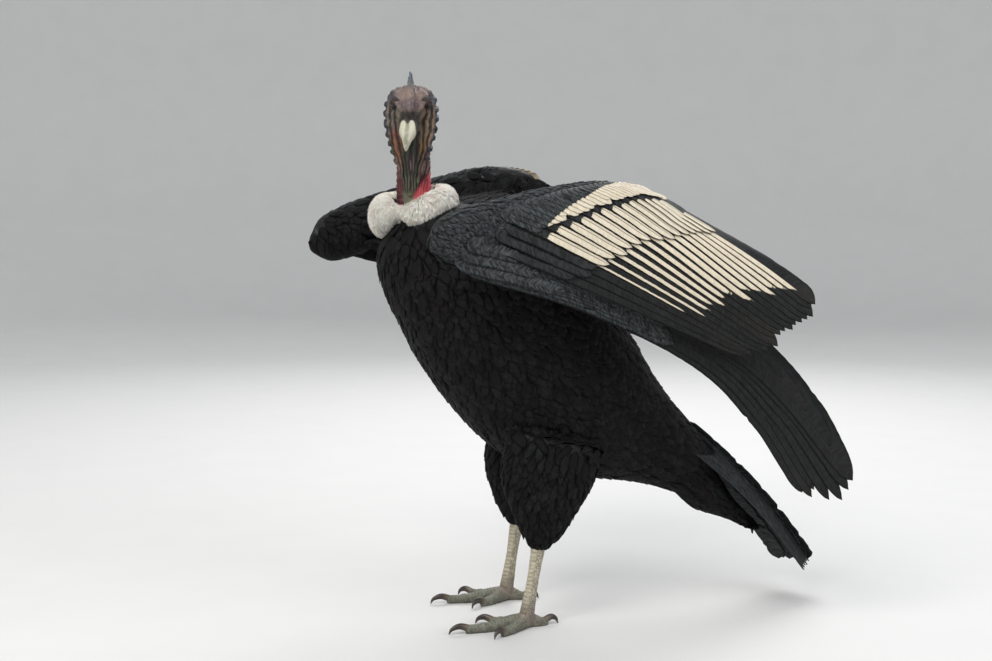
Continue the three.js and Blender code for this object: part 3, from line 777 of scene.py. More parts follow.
def quills(plumes, sheet, us, starts, stops, lift, outer, inner, rng, mark, sheen_tone, distal=-1, tilt=0.13,
           thick=0.8, bend=1.0, stations=44, round_from=0.93, column=(0.0, 1.0), fray=(0.10, 3), narrow=None):
    """
    Long feathers on a sheet, one for each u. starts and stops are v at their roots and tips.
    lift: height over the sheet, a number or a function of u and v. mark(u, s, wide): how white.
    outer, inner: the webs' widths, as a pair from root to tip or a function of s, the share of the length.
    distal says which way along u the outer webs point. column: their share of the unwrapped square.
    """
    us, starts, stops = np.broadcast_arrays(*(np.asarray(v, float) for v in (us, starts, stops)))
    count = len(us)
    s = np.linspace(0, 1, stations) ** 0.92
    U = np.repeat(us[:, None], stations, 1)
    V = starts[:, None] + (stops - starts)[:, None] * s
    flat = (U.ravel(), V.ravel())
    step = 4e-3
    centre = sheet.at(*flat)
    out = sheet.out(*flat)
    toward = sheet.at(flat[0] + distal * step, flat[1]) - sheet.at(flat[0] - distal * step, flat[1])
    height = lift(*flat)[:, None] if callable(lift) else lift
    centre = (centre + out * height).reshape(count, stations, 3)
    out = out.reshape(count, stations, 3)
    along = unit(np.gradient(centre, axis=1))
    toward = toward.reshape(count, stations, 3)
    across = unit(toward - along * (toward * along).sum(-1, keepdims=True))
    out = unit(out - along * (out * along).sum(-1, keepdims=True))
    out = unit(out - across * (out * across).sum(-1, keepdims=True))
    round_off = np.clip(1 - (np.maximum(s - round_from, 0) / (1 - round_from)) ** 2, 0.01, 1) ** 0.7
    base = np.clip(s / 0.06, 0.25, 1)
    left, right = (
        (web(s) if callable(web) else mix(*web, s)) * round_off * base * frayed(rng, count, stations, *fray)
        for web in (outer, inner)
    )
    if narrow is not None:
        left, right = left * narrow[0](us[:, None], s), right * narrow[1](us[:, None], s)
    across = unit(across + out * rng.normal(0, 0.012, (count, 1, 1)))
    body = thick * np.clip(1.15 - 0.5 * s, 0.3, 1) * np.ones((count, 1))
    low, high = column
    place = low + (high - low) * (np.arange(count)[:, None, None] + 0.5 + 0.44 * RING_WIDE) / count
    uv = np.stack(np.broadcast_arrays(place, 0.01 + 0.98 * s[None, :, None]), -1)
    marks = mark(us[:, None, None], s[None, :, None], RING_WIDE[None, None, :])
    plumes.add(centre, across, out, left, right, RING_WIDE, RING_RISE, body, bend, tilt, marks, sheen_tone, uv, rng)


# The body's coat: small vanes whose spines follow the skin
class Ground:
    """Points of the feathered surfaces. They say which region a place is in and how its feathers lie."""

    def __init__(self):
        self.points, self.flow, self.region, self.chart = [], [], [], []

    def add(self, region, surface, rings, sides, t0=0.0, t1=1.0, side=0, flow=None):
        """side: 1 or -1 keeps the place on the unwrap to one half of it. flow: unless it follows t."""
        t, a = np.meshgrid(np.linspace(t0, t1, rings), (np.arange(sides) + 0.5) / sides, indexing="ij")
        t, a = t.ravel(), a.ravel()
        points = surface(t, a)
        if flow is None:
            step = 2e-3
            flow = surface(np.minimum(t + step, 1), a) - surface(np.maximum(t - step, 0), a)
        self.points.append(points)
        self.flow.append(unit(np.broadcast_to(flow, points.shape)))
        self.region += [region] * len(t)
        self.chart.append(np.stack([(1 - side) / 4 + 0.5 * a if side else a, t], 1))

    def close(self):
        self.points, self.flow, self.chart = (np.concatenate(v) for v in (self.points, self.flow, self.chart))
        self.region = np.array(self.region)
        self.tree = Nearest(self.points)


class Nearest:
    """Finds the nearest of a set of points."""

    def __init__(self, points):
        self.tree = KDTree(len(points))
        for i, p in enumerate(points.tolist()):
            self.tree.insert(p, i)
        self.tree.balance()

    def find(self, points):
        return np.array([self.tree.find(p)[1] for p in points.tolist()])


# Where the wing's tiers of coverts end, as v on the arm's sheet for each u
def over_span(us, vs):
    return lambda u: np.interp(u, us, vs)


band_top = over_span([0.0, 0.2, 0.3, 0.385, 0.55, 0.825, 0.97], [0.21, 0.19, 0.165, 0.15, 0.115, 0.02, 0.0])
band_foot = over_span([0.0, 0.245, 0.4, 0.555, 0.75, 1.0], [0.19, 0.178, 0.19, 0.18, 0.158, 0.142])
great_foot = over_span([0.0, 0.135, 0.265, 0.375, 0.49, 0.62, 1.0],
                       [0.40, 0.425, 0.405, 0.40, 0.41, 0.415, 0.43])
white_foot = over_span([0.0, 0.1, 0.205, 0.41, 0.58, 0.76, 0.91, 1.0],
                       [0.50, 0.66, 0.75, 0.745, 0.75, 0.77, 0.825, 0.865])


class SheetMap(Nearest):
    """Places over a wing's sheet, with their u and v and how feathers lie there."""

    def __init__(self, sheet):
        step = 0.01
        u, v = np.meshgrid(np.linspace(0, 1, 61), np.linspace(0, COVERED, 46), indexing="ij")
        self.u, self.v = u, v = u.ravel(), v.ravel()
        self.points, self.out = sheet.at(u, v), sheet.out(u, v)
        along = sheet.at(u, np.minimum(v + step, 1)) - sheet.at(u, np.maximum(v - step, 0))
        across = sheet.at(np.maximum(u - step, 0), v) - sheet.at(np.minimum(u + step, 1), v)
        self.flow = unit(unit(along) + 0.35 * unit(across))
        super().__init__(self.points)


def pad_height(u, v, until, deep):
    """How high the coverts stand over a sheet."""
    round_off = rounded((u + OVERHANG) / (1 + 2 * OVERHANG))
    q = np.clip(v / far_back(until, round_off), 0, 1)
    return deep * round_off * thinned(q) * 2 * np.sqrt(q * (1 - q))


def cover_height(tree, sheet, side, pad, over_skin, less=1.0, least=0.0):
    """Height for coverts: over the padding, or the skin where that is higher. side 1 is the outer face."""

    def lift(u, v):
        base = np.maximum(pad_height(u, v, *pad) - less, least)
        points, out = sheet.at(u, v), sheet.out(u, v) * side
        found = np.zeros(len(points))
        for i, (p, n) in enumerate(zip(points, out)):
            place, _, _, distance = tree.ray_cast(Vector(p + n * REACH), Vector(-n), REACH)
            if place is not None:
                found[i] = REACH - distance + over_skin
        return side * np.maximum(base, found)

    return lift


def level(d, n):
    """d without its part along n, as a unit vector."""
    d = d - n * (d @ n)
    return d / max(np.linalg.norm(d), 1e-6)


def lay_spines(tree, roots, normals, flow, length, rise, stations):
    """Spines that follow the skin from their roots, 1 mm under it, and rise from it towards their tips."""
    s = np.linspace(0, 1, stations)
    centre = np.zeros((len(roots), stations, 3))
    out = np.zeros_like(centre)
    for i, (p, n, d, step) in enumerate(zip(roots, normals, flow, length / (stations - 1))):
        d = level(d, n)
        for k in range(stations):
            centre[i, k], out[i, k] = p, n
            ahead = p + d * step
            near, normal, _, distance = tree.find_nearest(Vector(ahead), 60)
            if near is None or distance > step * 0.9:
                q, m = ahead, n
            else:
                q, m = np.array(near), unit(np.array(normal) + n * 0.6)
            d = level(q - p, m)
            p, n = q, m
    height = rise[:, None] * s**0.85 - (1 - s)
    return centre + out * height[..., None], out


def add_vanes(plumes, tree, roots, normals, flow, length, half, rise, sheen_tone, chart, rng):
    """Small black contour feathers. chart: each root's place on the unwrapped skin."""
    shape = np.array([0.35, 0.8, 1.0, 1.04, 0.98, 0.78, 0.3])
    count, stations = len(roots), len(shape)
    centre, out = lay_spines(tree, roots, normals, flow, length, rise, stations)
    along = unit(np.gradient(centre, axis=1))
    out = unit(out - along * (out * along).sum(-1, keepdims=True))
    across = unit(np.cross(along, out))
    across = unit(across + out * rng.normal(0, 0.05, (count, 1, 1)))
    left, right = (half[:, None] * shape * rng.uniform(0.86, 1.1, (count, stations)) for _ in range(2))
    s = np.linspace(0, 1, stations)
    thick = np.full((count, stations), 0.4) * np.clip(1.2 - 0.5 * s, 0, 1)
    uv = chart[:, None, None] + PATCH * np.stack(np.meshgrid(0.5 * SMALL_WIDE, s - 0.5), -1)
    plumes.add(centre, across, out, left, right, SMALL_WIDE, SMALL_RISE, thick, 0.9, 0.0, -1.0, sheen_tone,
               np.clip(uv, 0, 1), rng)


# Region of the skin: feather's length, half width, rise and spacing
VANES = {
    "trunk": (46, 11.5, 5.6, 10.0),
    "rump": (58, 12.5, 5.6, 11.5),
    "shoulder": (50, 12, 4.8, 11.0),
    "thigh": (44, 8.5, 6.6, 9.0),
    "shin": (26, 6, 5.0, 6.6),
    "tail_under": (56, 11, 5.6, 11.0),
    "lesser": (33, 6.6, 2.0, 6.4),
    "marginal": (21, 5.6, 1.8, 5.4),
    "under": (34, 9, 3.4, 7.6),
}


# Piece of the coat: its regions, the axis that cuts it off, and from where to where along it
COAT_PIECES = {
    "coat_front": ("trunk", 1, -999, -150),
    "coat_middle": ("trunk", 1, -150, 20),
    "coat_back": ("trunk rump tail_under", 1, 20, 999),
    "coat_legs": ("thigh shin", 1, -999, 999),
    "coat_wing_left": ("lesser marginal under shoulder", 0, 0, 999),
    "coat_wing_right": ("lesser marginal under shoulder", 0, -999, 0),
}


def under_tail():
    """The flesh and the coverts under the tail."""
    path = [[0, 280, 262], [0, 336, 212], [0, 392, 170], [0, 446, 132]]
    return tube(path, [[40, 34], [36, 40], [26, 20], [12, 6]], Y + Z, -4)


def ground_of_body():
    ground = Ground()
    ground.add("trunk", trunk(-COAT), 90, 72, t1=0.82)
    ground.add("rump", trunk(-COAT), 30, 72, t0=0.82)
    ground.add("ruff", ruff(-DOWN_COAT), 80, 40)
    ground.add("tail_under", under_tail(), 40, 72)
    for wing in WINGS:
        side = wing.side
        back = Y + X * side * 0.35 - Z * 0.1
        ground.add("shoulder", upper_arm(wing, -WING_COAT), 50, 50, side=side, flow=back)
        ground.add("arm", forearm(wing, -WING_COAT), 60, 40, side=side, flow=back)
        ground.add("arm", padding(wing.arm, *ARM_FLESH, WING_COAT), 50, 60, side=side, flow=back)
        ground.add("hand", padding(wing.hand, *HAND_FLESH, WING_COAT), 40, 60, side=side, flow=back)
    for leg in LEGS:
        ground.add("thigh", leg.thigh(-COAT), 60, 50, 0, 0.7, leg.side)
        ground.add("shin", leg.thigh(-COAT * 0.7), 30, 50, 0.7, 1.0, leg.side)
    ground.close()
    return ground


def body_skin():
    shells = [shell(trunk(-COAT), 48, 40), shell(under_tail(), 20, 24), shell(ruff(-DOWN_COAT), 60, 24)]
    for wing in WINGS:
        shells += [
            shell(forearm(wing, -WING_COAT), 32, 28),
            shell(upper_arm(wing, -WING_COAT), 20, 28),
            shell(padding(wing.arm, *ARM_FLESH, WING_COAT), 24, 32),
            shell(padding(wing.hand, *HAND_FLESH, WING_COAT), 16, 32),
        ]
    for leg in LEGS:
        shells += [shell(leg.thigh(-COAT), 24, 28, 0, 0.8), shell(leg.thigh(-COAT * 0.45), 12, 28, 0.7, 1)]
    return fused("body", shells, BODY_VOXEL, 3)


def probes(points, quads, rng):
    """Random places on a mesh, with the normals there."""
    corner = points[quads]
    normal = np.cross(corner[:, 2] - corner[:, 0], corner[:, 3] - corner[:, 1])
    area = np.linalg.norm(normal, axis=1) / 2
    pick = rng.choice(len(quads), TRIES, p=area / area.sum())
    f, g = rng.random((2, TRIES, 1))
    c = corner[pick]
    return mix(mix(c[:, 0], c[:, 1], f), mix(c[:, 3], c[:, 2], f), g), unit(normal[pick])


def coat(skin, ground, rng):
    """Contour feathers over the body's skin, in pieces by region."""
    points, quads = points_of(skin), faces_of(skin)
    tree = BVHTree.FromPolygons(points.tolist(), quads.tolist())
    found, normal = probes(points, quads, rng)
    near = ground.tree.find(found)
    region = ground.region[near].astype("U12")
    flow, chart = ground.flow[near], ground.chart[near]
    for wing in WINGS:
        for kind in ("arm", "hand"):
            sheet = SheetMap(getattr(wing, kind))
            here = np.nonzero((region == kind) & (found[:, 0] * wing.side > 0))[0]
            place = sheet.find(found[here])
            u, v = sheet.u[place], sheet.v[place]
            upper = (normal[here] * sheet.out[place]).sum(-1) > -0.1
            flow[here] = sheet.flow[place]
            top = band_top(u) - 0.035 if kind == "arm" else 0.10
            above = np.where(v > top, "none", np.where(v < 0.03, "marginal", "lesser"))
            region[here] = np.where(upper, above, np.where(v < 0.28, "under", "none"))
            low = (1 - wing.side) / 4 + (0.25 if kind == "hand" else 0)
            chart[here] = np.stack([low + 0.25 * u, np.clip(v / COVERED, 0, 1) * 0.5 + 0.5 * ~upper], -1)
    spacing = np.zeros(TRIES)
    for name, numbers in VANES.items():
        spacing[region == name] = numbers[3]
    kept = spaced(found, spacing)
    made = {}
    for name, (regions, axis, low, high) in COAT_PIECES.items():
        place = found[kept, axis]
        here = kept[np.isin(region[kept], regions.split()) & (place >= low) & (place < high)]
        numbers = np.array([VANES[r][:3] for r in region[here]], float)
        length, half, rise = (numbers * rng.uniform(0.85, 1.15, (len(here), 1))).T
        way = unit(flow[here] + rng.normal(0, 0.09, (len(here), 3)))
        sheen_tone = rng.uniform(0, 1, len(here))
        # painted sheen: the coverts on top of the wing get a high sheen tone that lightens their black
        # towards slate; the rest get a faint random one
        slate = np.isin(region[here], ["lesser", "marginal"])
        sheen_tone = np.where(slate, 0.65 + 0.35 * sheen_tone, 0.14 * sheen_tone)[:, None, None]
        made[name] = Plumes()
        add_vanes(made[name], tree, found[here], normal[here], way, length, half, rise, sheen_tone, chart[here],
                  rng)
    return made, tree


def spaced(found, spacing):
    """Which of the points to keep so that each is at least its spacing from the rest."""
    cell = 12.5  # wider than any spacing
    cells = np.floor(found / cell).astype(int).tolist()
    places = found.tolist()
    grid, kept = {}, []
    for i, r in enumerate(spacing.tolist()):
        if r <= 0:
            continue
        x, y, z = cells[i]
        p = places[i]
        limit = r * r
        if all(
            (q[0] - p[0]) ** 2 + (q[1] - p[1]) ** 2 + (q[2] - p[2]) ** 2 >= limit
            for dx in (-1, 0, 1) for dy in (-1, 0, 1) for dz in (-1, 0, 1)
            for q in grid.get((x + dx, y + dy, z + dz), ())
        ):
            grid.setdefault((x, y, z), []).append(p)
            kept.append(i)
    return np.array(kept)


# Long feathers
def middles(number):
    """That many places spread evenly over the span."""
    return (np.arange(number) + 0.5) / number


def outer_white(end, narrow=(0.2, 0.62)):
    """
    White along the outer web from its root to end(u), a share of the length, and black beyond. The stripe is
    narrow where u is below narrow[0] and fills the web where it is above narrow[1].
    """

    def mark(u, s, wide):
        full = smooth(u, *narrow)
        web = np.minimum((mix(-0.46, -0.05, full) - wide) * 9, (wide - mix(-0.84, -0.97, full)) * 12)
        uneven = 0.03 * np.sin(u * 389) + 0.05 * (wide + 0.5)
        return np.clip(np.minimum(np.minimum(web, (u - 0.19) * 40), (end(u) + uneven - s) * 26), -1, 1)

    return mark


def covert_white(u, s, wide):
    """Greater coverts: cream with a dark shaft and edges, and dark where the row above shades them."""
    top = (band_foot(u) + 0.022 - 0.09) / (great_foot(u) - 0.09)
    web = np.minimum(np.abs(wide + 0.02) * 26 - 1, np.minimum((0.28 - wide) * 7, (wide + 0.93) * 14))
    return np.clip(np.minimum(web, np.minimum((s - top) * 20, (u - 0.19) * 90)), -1, 1)


def black(u, s, wide):
    return -1.0 + 0 * (u + s + wide)


def finger_outer(u, s):
    return 1 - 0.35 * smooth(s, 0.74, 0.84) * smooth(u, 0.7, 0.5)


def finger_inner(u, s):
    """How much of its width a primary's web keeps: the outer primaries narrow towards their tips."""
    notch = 1 - 0.45 * smooth(s, 0.70, 0.84) * smooth(u, 0.7, 0.5)
    return notch * (1 - 0.45 * smooth(s, 0.84, 1.0)) * mix(1, 0.3, smooth(u, 0.6, 0.95))


def wing_feathers(wing, tree, rng):
    """The long feathers and the rows of coverts of one wing, as white-marked and black sets."""
    pale, dark = Plumes(), Plumes()
    arm, hand = wing.arm, wing.hand
    # the number after each mark is the row's sheen tone: how far painted sheen lightens its black towards
    # slate, high on the coverts on top and low underneath
    us = middles(SECONDARIES)
    quills(pale, arm, us, 0.1, 1 - 0.045 * rng.random(SECONDARIES), FLIGHT_LIFT, (13.5, 7.6), (30, 20), rng,
           outer_white(lambda u: (white_foot(u) - 0.1) / 0.9), 0.18, column=(0, 0.42), fray=(0.05, 0),
           stations=60, round_from=0.9)
    quills(pale, arm, us, 0.09, great_foot(us) + rng.normal(0, 0.008, SECONDARIES),
           cover_height(tree, arm, 1, ARM_PAD, 2.5, 0.8, 8.6), (12.5, 11), (20, 17), rng, covert_white, 0.35,
           column=(0.42, 0.7), stations=26, round_from=0.84, thick=0.6, fray=(0.06, 0), bend=0.6)
    band = np.linspace(0.2, 0.985, BAND_FEATHERS)
    first = np.maximum(0.0, band_foot(band) - 0.14)
    last = band_foot(band) + rng.normal(0, 0.007, BAND_FEATHERS)

    def band_white(u, s, wide):
        where = np.interp(u, band, first) + s * np.interp(u, band, last - first)
        return np.clip((where - band_top(u - 0.014 * wide) + 0.004) * 60, -1, 1)

    quills(pale, arm, band, first, last, cover_height(tree, arm, 1, ARM_PAD, 3.0, -2.6, 11.0), (10, 10),
           (13, 13), rng, band_white, 0.9, column=(0.7, 1.0), stations=24, round_from=0.8, thick=0.5,
           fray=(0.16, 0), bend=0.5, tilt=0.1)
    us = middles(PRIMARIES)
    quills(dark, hand, us, 0.05, 1 - 0.05 * rng.random(PRIMARIES), -FLIGHT_LIFT, (12, 17),
           lambda s: 26 + 24 * smooth(s, 0.1, 0.6), rng, black, 0.15, column=(0, 0.4), stations=90,
           narrow=(finger_outer, finger_inner), round_from=0.95, fray=(0.04, 1), tilt=0.09)
    quills(dark, hand, us, 0.04, np.interp(us, [0, 1], [0.53, 0.42]),
           cover_height(tree, hand, 1, HAND_PAD, 2.0, 0.8), (9, 13), (14, 26), rng, black, 0.85,
           column=(0.4, 0.55), stations=24, round_from=0.9, thick=0.6)
    # the thumb's feathers
    quills(dark, hand, np.array([0.2, 0.5, 0.8]), 0.02, np.array([0.27, 0.23, 0.19]),
           cover_height(tree, hand, 1, HAND_PAD, 4.5, -2), (12, 10), (16, 14), rng, black, 0.85,
           column=(0.55, 0.6), stations=20, round_from=0.85)
    # the coverts on the inner face
    for sheet, pad, column, number in (
        (arm, ARM_PAD, (0.6, 0.72), SECONDARIES), (hand, HAND_PAD, (0.72, 0.8), PRIMARIES),
    ):
        quills(dark, sheet, middles(number), 0.1, 0.42, cover_height(tree, sheet, -1, pad, 2.0, 0.8),
               (12, 12), (18, 18), rng, black, 0.1, column=column, stations=16, round_from=0.85, tilt=0.1,
               thick=0.6)
    stripe = outer_white(lambda u: 0.82)
    quills(dark, tertial_span(wing), middles(TERTIALS), 0.0, 1 - 0.02 * rng.random(TERTIALS), 0, (21, 19),
           (36, 31), rng, lambda u, s, wide: np.clip(np.minimum(stripe(u, s, wide), (u - 0.55) * 8), -1, 1),
           0.25, distal=1, column=(0.8, 1.0), stations=40, fray=(0.09, 4))
    return pale, dark


def tail_feathers(rng):
    plumes = Plumes()
    span, half = tail_span(), TAIL_FEATHERS // 2
    # 0.6 is the tail's sheen tone: painted sheen that lightens its black towards slate
    for side, column in ((1, (0, 0.5)), (-1, (0.5, 1.0))):
        us = side * (np.arange(half) * 2 + 1) / TAIL_FEATHERS
        quills(plumes, span, us, 0.02, 1 - 0.012 * rng.random(half), 0.4, (12, 13), (16, 30), rng, black, 0.6,
               distal=side, tilt=0.12, column=column, fray=(0.09, 4), round_from=0.95)
    return plumes


def ruff_down(name, rng, count, start):
    """Down over half of the ruff: tapered strands that lie round the collar, outwards and down."""
    stations, ring = 6, 3
    order = rng.permutation(count)
    t = start + 0.5 * (order + rng.random(count)) / count
    a = 0.01 + 0.95 * rng.random(count)
    length = rng.uniform(18, 30, count)
    s = np.linspace(0, 1, stations)
    reach = 1.4 * np.pi * 27  # the way round the collar's section, while a goes from 0 to 1
    turn = a[:, None] + s * (length / reach)[:, None]
    T = (t[:, None] + s * rng.normal(0, 0.010, count)[:, None] + 0.004 * np.sin(7 * s + 50 * t[:, None])) % 1
    A = np.clip(turn, 0, 1)
    base = ruff(-DOWN_COAT)(T.ravel(), A.ravel())
    top = ruff(0.0)(T.ravel(), A.ravel())
    lift = rng.uniform(0.7, 1.12, (count, 1)) * s**0.75
    centre = mix(base, top, lift.reshape(-1, 1)).reshape(count, stations, 3)
    out = unit(top - base).reshape(count, stations, 3)
    centre = centre - Z * (np.maximum(turn - 1, 0) * reach * 0.7)[..., None]
    centre += rng.normal(0, 0.5, centre.shape) * s[:, None]
    along = unit(np.gradient(centre, axis=1))
    across = unit(np.cross(along, out))
    out = np.cross(across, along)
    half = rng.uniform(0.8, 1.5, (count, 1)) * np.array([0.7, 1.0, 1.05, 0.9, 0.6, 0.16])
    angle = 2 * np.pi * np.arange(ring) / ring + np.pi / 2
    points = (centre[:, :, None] + across[:, :, None] * (half[..., None] * np.cos(angle))[..., None]
              + out[:, :, None] * (half[..., None] * 0.6 * np.sin(angle))[..., None])
    quads, ends = tube_faces(count, stations, ring)
    whole = np.ones((count, stations, ring))
    chance = rng.random(count)[:, None, None] * whole
    vane = np.stack([s[None, :, None] * whole, np.cos(angle) * whole, chance], -1)
    chart = np.stack([2 * (t - start), a], -1)[:, None, None, :] * 0.996 + 0.002
    uv = chart + PATCH * np.stack([0.4 * np.cos(angle) * whole, (s[None, :, None] - 0.5) * whole], -1)
    return build_mesh(name, points.reshape(-1, 3), [turned_over(quads), ends[:, ::-1]],
                      [("vane", "FLOAT_VECTOR", vane.reshape(-1, 3))], np.clip(uv, 0, 1).reshape(-1, 2))


# The bare head and neck
def eye_frame(side):
    """The eye's middle, and unit vectors out of the lids, forward and up."""
    middle = on_head([EYE[0], EYE[1] * side, EYE[2]])[0]
    out = unit(np.array([0.54, 0.84 * side, -0.05]) @ HEAD_AXES)
    forward = unit(AHEAD - out * (AHEAD @ out))
    return middle, out, forward, np.cross(out, forward) * side


# half angles of the gap between the lids
LID_WIDE, LID_TALL = math.radians(38), math.radians(28)


def opening(turn):
    """Half angle of the gap between the lids, in each direction round the eye."""
    return 1 / np.sqrt((np.cos(turn) / LID_WIDE) ** 2 + (np.sin(turn) / LID_TALL) ** 2)


def round_eye(side, turn, angle, radius):
    middle, out, forward, up = eye_frame(side)
    sweep = forward * np.cos(turn)[..., None] + up * np.sin(turn)[..., None]
    return middle + radius * (out * np.cos(angle)[..., None] + sweep * np.sin(angle)[..., None])


def ring_tube(line, half):
    """A closed ring with a round section along a closed line of points."""
    around = 10
    ahead = unit(np.roll(line, -1, 0) - np.roll(line, 1, 0))
    across = unit(np.cross(ahead, line - line.mean(0)))
    over = np.cross(across, ahead)
    turn = 2 * np.pi * np.arange(around) / around
    ring = across[:, None] * np.cos(turn)[:, None] + over[:, None] * np.sin(turn)[:, None]
    points = (line[:, None] + ring * half).reshape(-1, 3)
    quads = tube_faces(1, len(line) + 1, around)[0] % len(points)
    if inside_out(points, quads, line.mean(0)):
        quads = quads[:, ::-1]
    return points, quads


NECK = [[6, -212, 692], [2, -212, 722], [-6, -211, 765], [-22, -208, 820], [-30, -208, 868], [-22, -210, 900]]


def lappet_path(side):
    """The fold that hangs down beside the face."""
    return on_face([-10, 30 * side, 932], [-6, 37 * side, 912], [0, 38 * side, 888], [6, 35 * side, 862],
                   [12, 27 * side, 834], [18, 17 * side, 804], [21, 9 * side, 772])


# the middle line of the wattle under the bill, as on_face takes it
WATTLE = [[28, 0, 872], [24, 0, 850], [21, 0, 818], [22, 0, 782], [24, 0, 752]]


def blob(middle, size, gap=0.02):
    """An ellipsoid with these half widths, cut off at both poles by that share of its turn."""

    def surface(t, a):
        angle, swing = np.pi * mix(gap, 1 - gap, t), 2 * np.pi * a
        way = np.stack([np.sin(angle) * np.cos(swing), np.sin(angle) * np.sin(swing), np.cos(angle)], -1)
        return middle + way * size

    return surface


# ahead, outwards, height over the floor and radius
TEMPLE_LUMPS = ((-4, 29, 931, 8), (-8, 34, 922, 8), (-14, 21, 936, 8), (4, 20, 930, 7))


def head_shells():
    """The overlapping forms of the head and neck, before they are fused."""
    skull = on_head([-50, 0, -5], [-36, 0, -4], [-12, 0, 2], [12, 0, 3], [32, 0, -2], [50, 0, -6],
                    [62, 0, -9])
    skull_sizes = [[12, 12], [30, 24], [34, 31], [32, 29], [23, 23], [15, 17], [12, 14]]
    comb = on_head([54, 0, 8], [44, 0, 20], [26, 0, 34], [6, 0, 41], [-14, 0, 40], [-28, 0, 30])
    jaw = on_head([-6, 0, -22], [20, 0, -24], [44, 0, -22], [60, 0, -22])
    shells = [
        shell(tube(NECK, [[30, 30], [32, 32], [28, 30], [26, 29], [26, 29], [23, 25]], Y), 40, 32),
        shell(tube(skull, skull_sizes, OVER, -0.6), 40, 40),
        shell(tube(comb, [[5, 7], [7, 13], [6.5, 18], [6, 22], [5, 19], [3, 10]], OVER, -0.8), 40, 24),
        shell(tube(jaw, [[20, 16], [20, 14], [15, 9], [11, 6]], OVER), 24, 28),
        shell(tube(on_face(*WATTLE), [[9, 9], [16, 12], [17, 12], [13, 10], [6, 6]], FACING, -1), 30, 28),
    ]
    for side in (1, -1):
        folds = [[6, 8], [8, 14], [8, 16], [7.5, 16], [8, 15], [7, 12], [4, 6]]
        shells.append(shell(tube(lappet_path(side), folds, FACING, -1.2), 40, 24))
        cheek = on_face([-6, 24 * side, 912], [4, 26 * side, 893], [10, 23 * side, 866], [14, 18 * side, 838],
                        [17, 11 * side, 806], [17, 6 * side, 776])
        cheek_sizes = [[9, 10], [11, 13], [12, 14], [11, 13], [9, 11], [6, 8]]
        shells.append(shell(tube(cheek, cheek_sizes, FACING), 40, 24))
        brow = on_head([-16, 22 * side, 22], [2, 26 * side, 26], [18, 23.5 * side, 24.5], [34, 17 * side, 17],
                       [50, 10 * side, 7])
        shells.append(shell(tube(brow, [[3, 3], [5, 4.5], [6, 4.5], [5.5, 4.5], [3, 3]], OVER), 24, 16))
        shells.append(shell(blob(eye_frame(side)[0], [LID_BALL] * 3), 24, 28))
        for ahead, left, height, size in TEMPLE_LUMPS:
            shells.append(shell(blob(on_face([ahead, left * side, height])[0], [size] * 3), 12, 14))
    return shells


FACE_HEIGHTS = [760, 780, 805, 835, 862, 890, 915, 935]
FACE_HALF = [17, 19, 25, 35, 43, 46, 44, 38]  # the face's half width at those heights


def fold_phase(P, l):
    """Counts the folds that run down the face, out from its middle line."""
    half = np.interp(P[:, 2], FACE_HEIGHTS, FACE_HALF)
    return 4.1 * np.abs(l) / half + 0.38 * noise(P, 16, 61) + 0.12 * noise(P, 6, 62) + 0.25


def distance_to(line, count, points):
    """How far each point is from a line, taken as that many places along it."""
    places = spline(line, np.linspace(0, 1, count))
    return np.linalg.norm(points[:, None] - places, axis=-1).min(1)


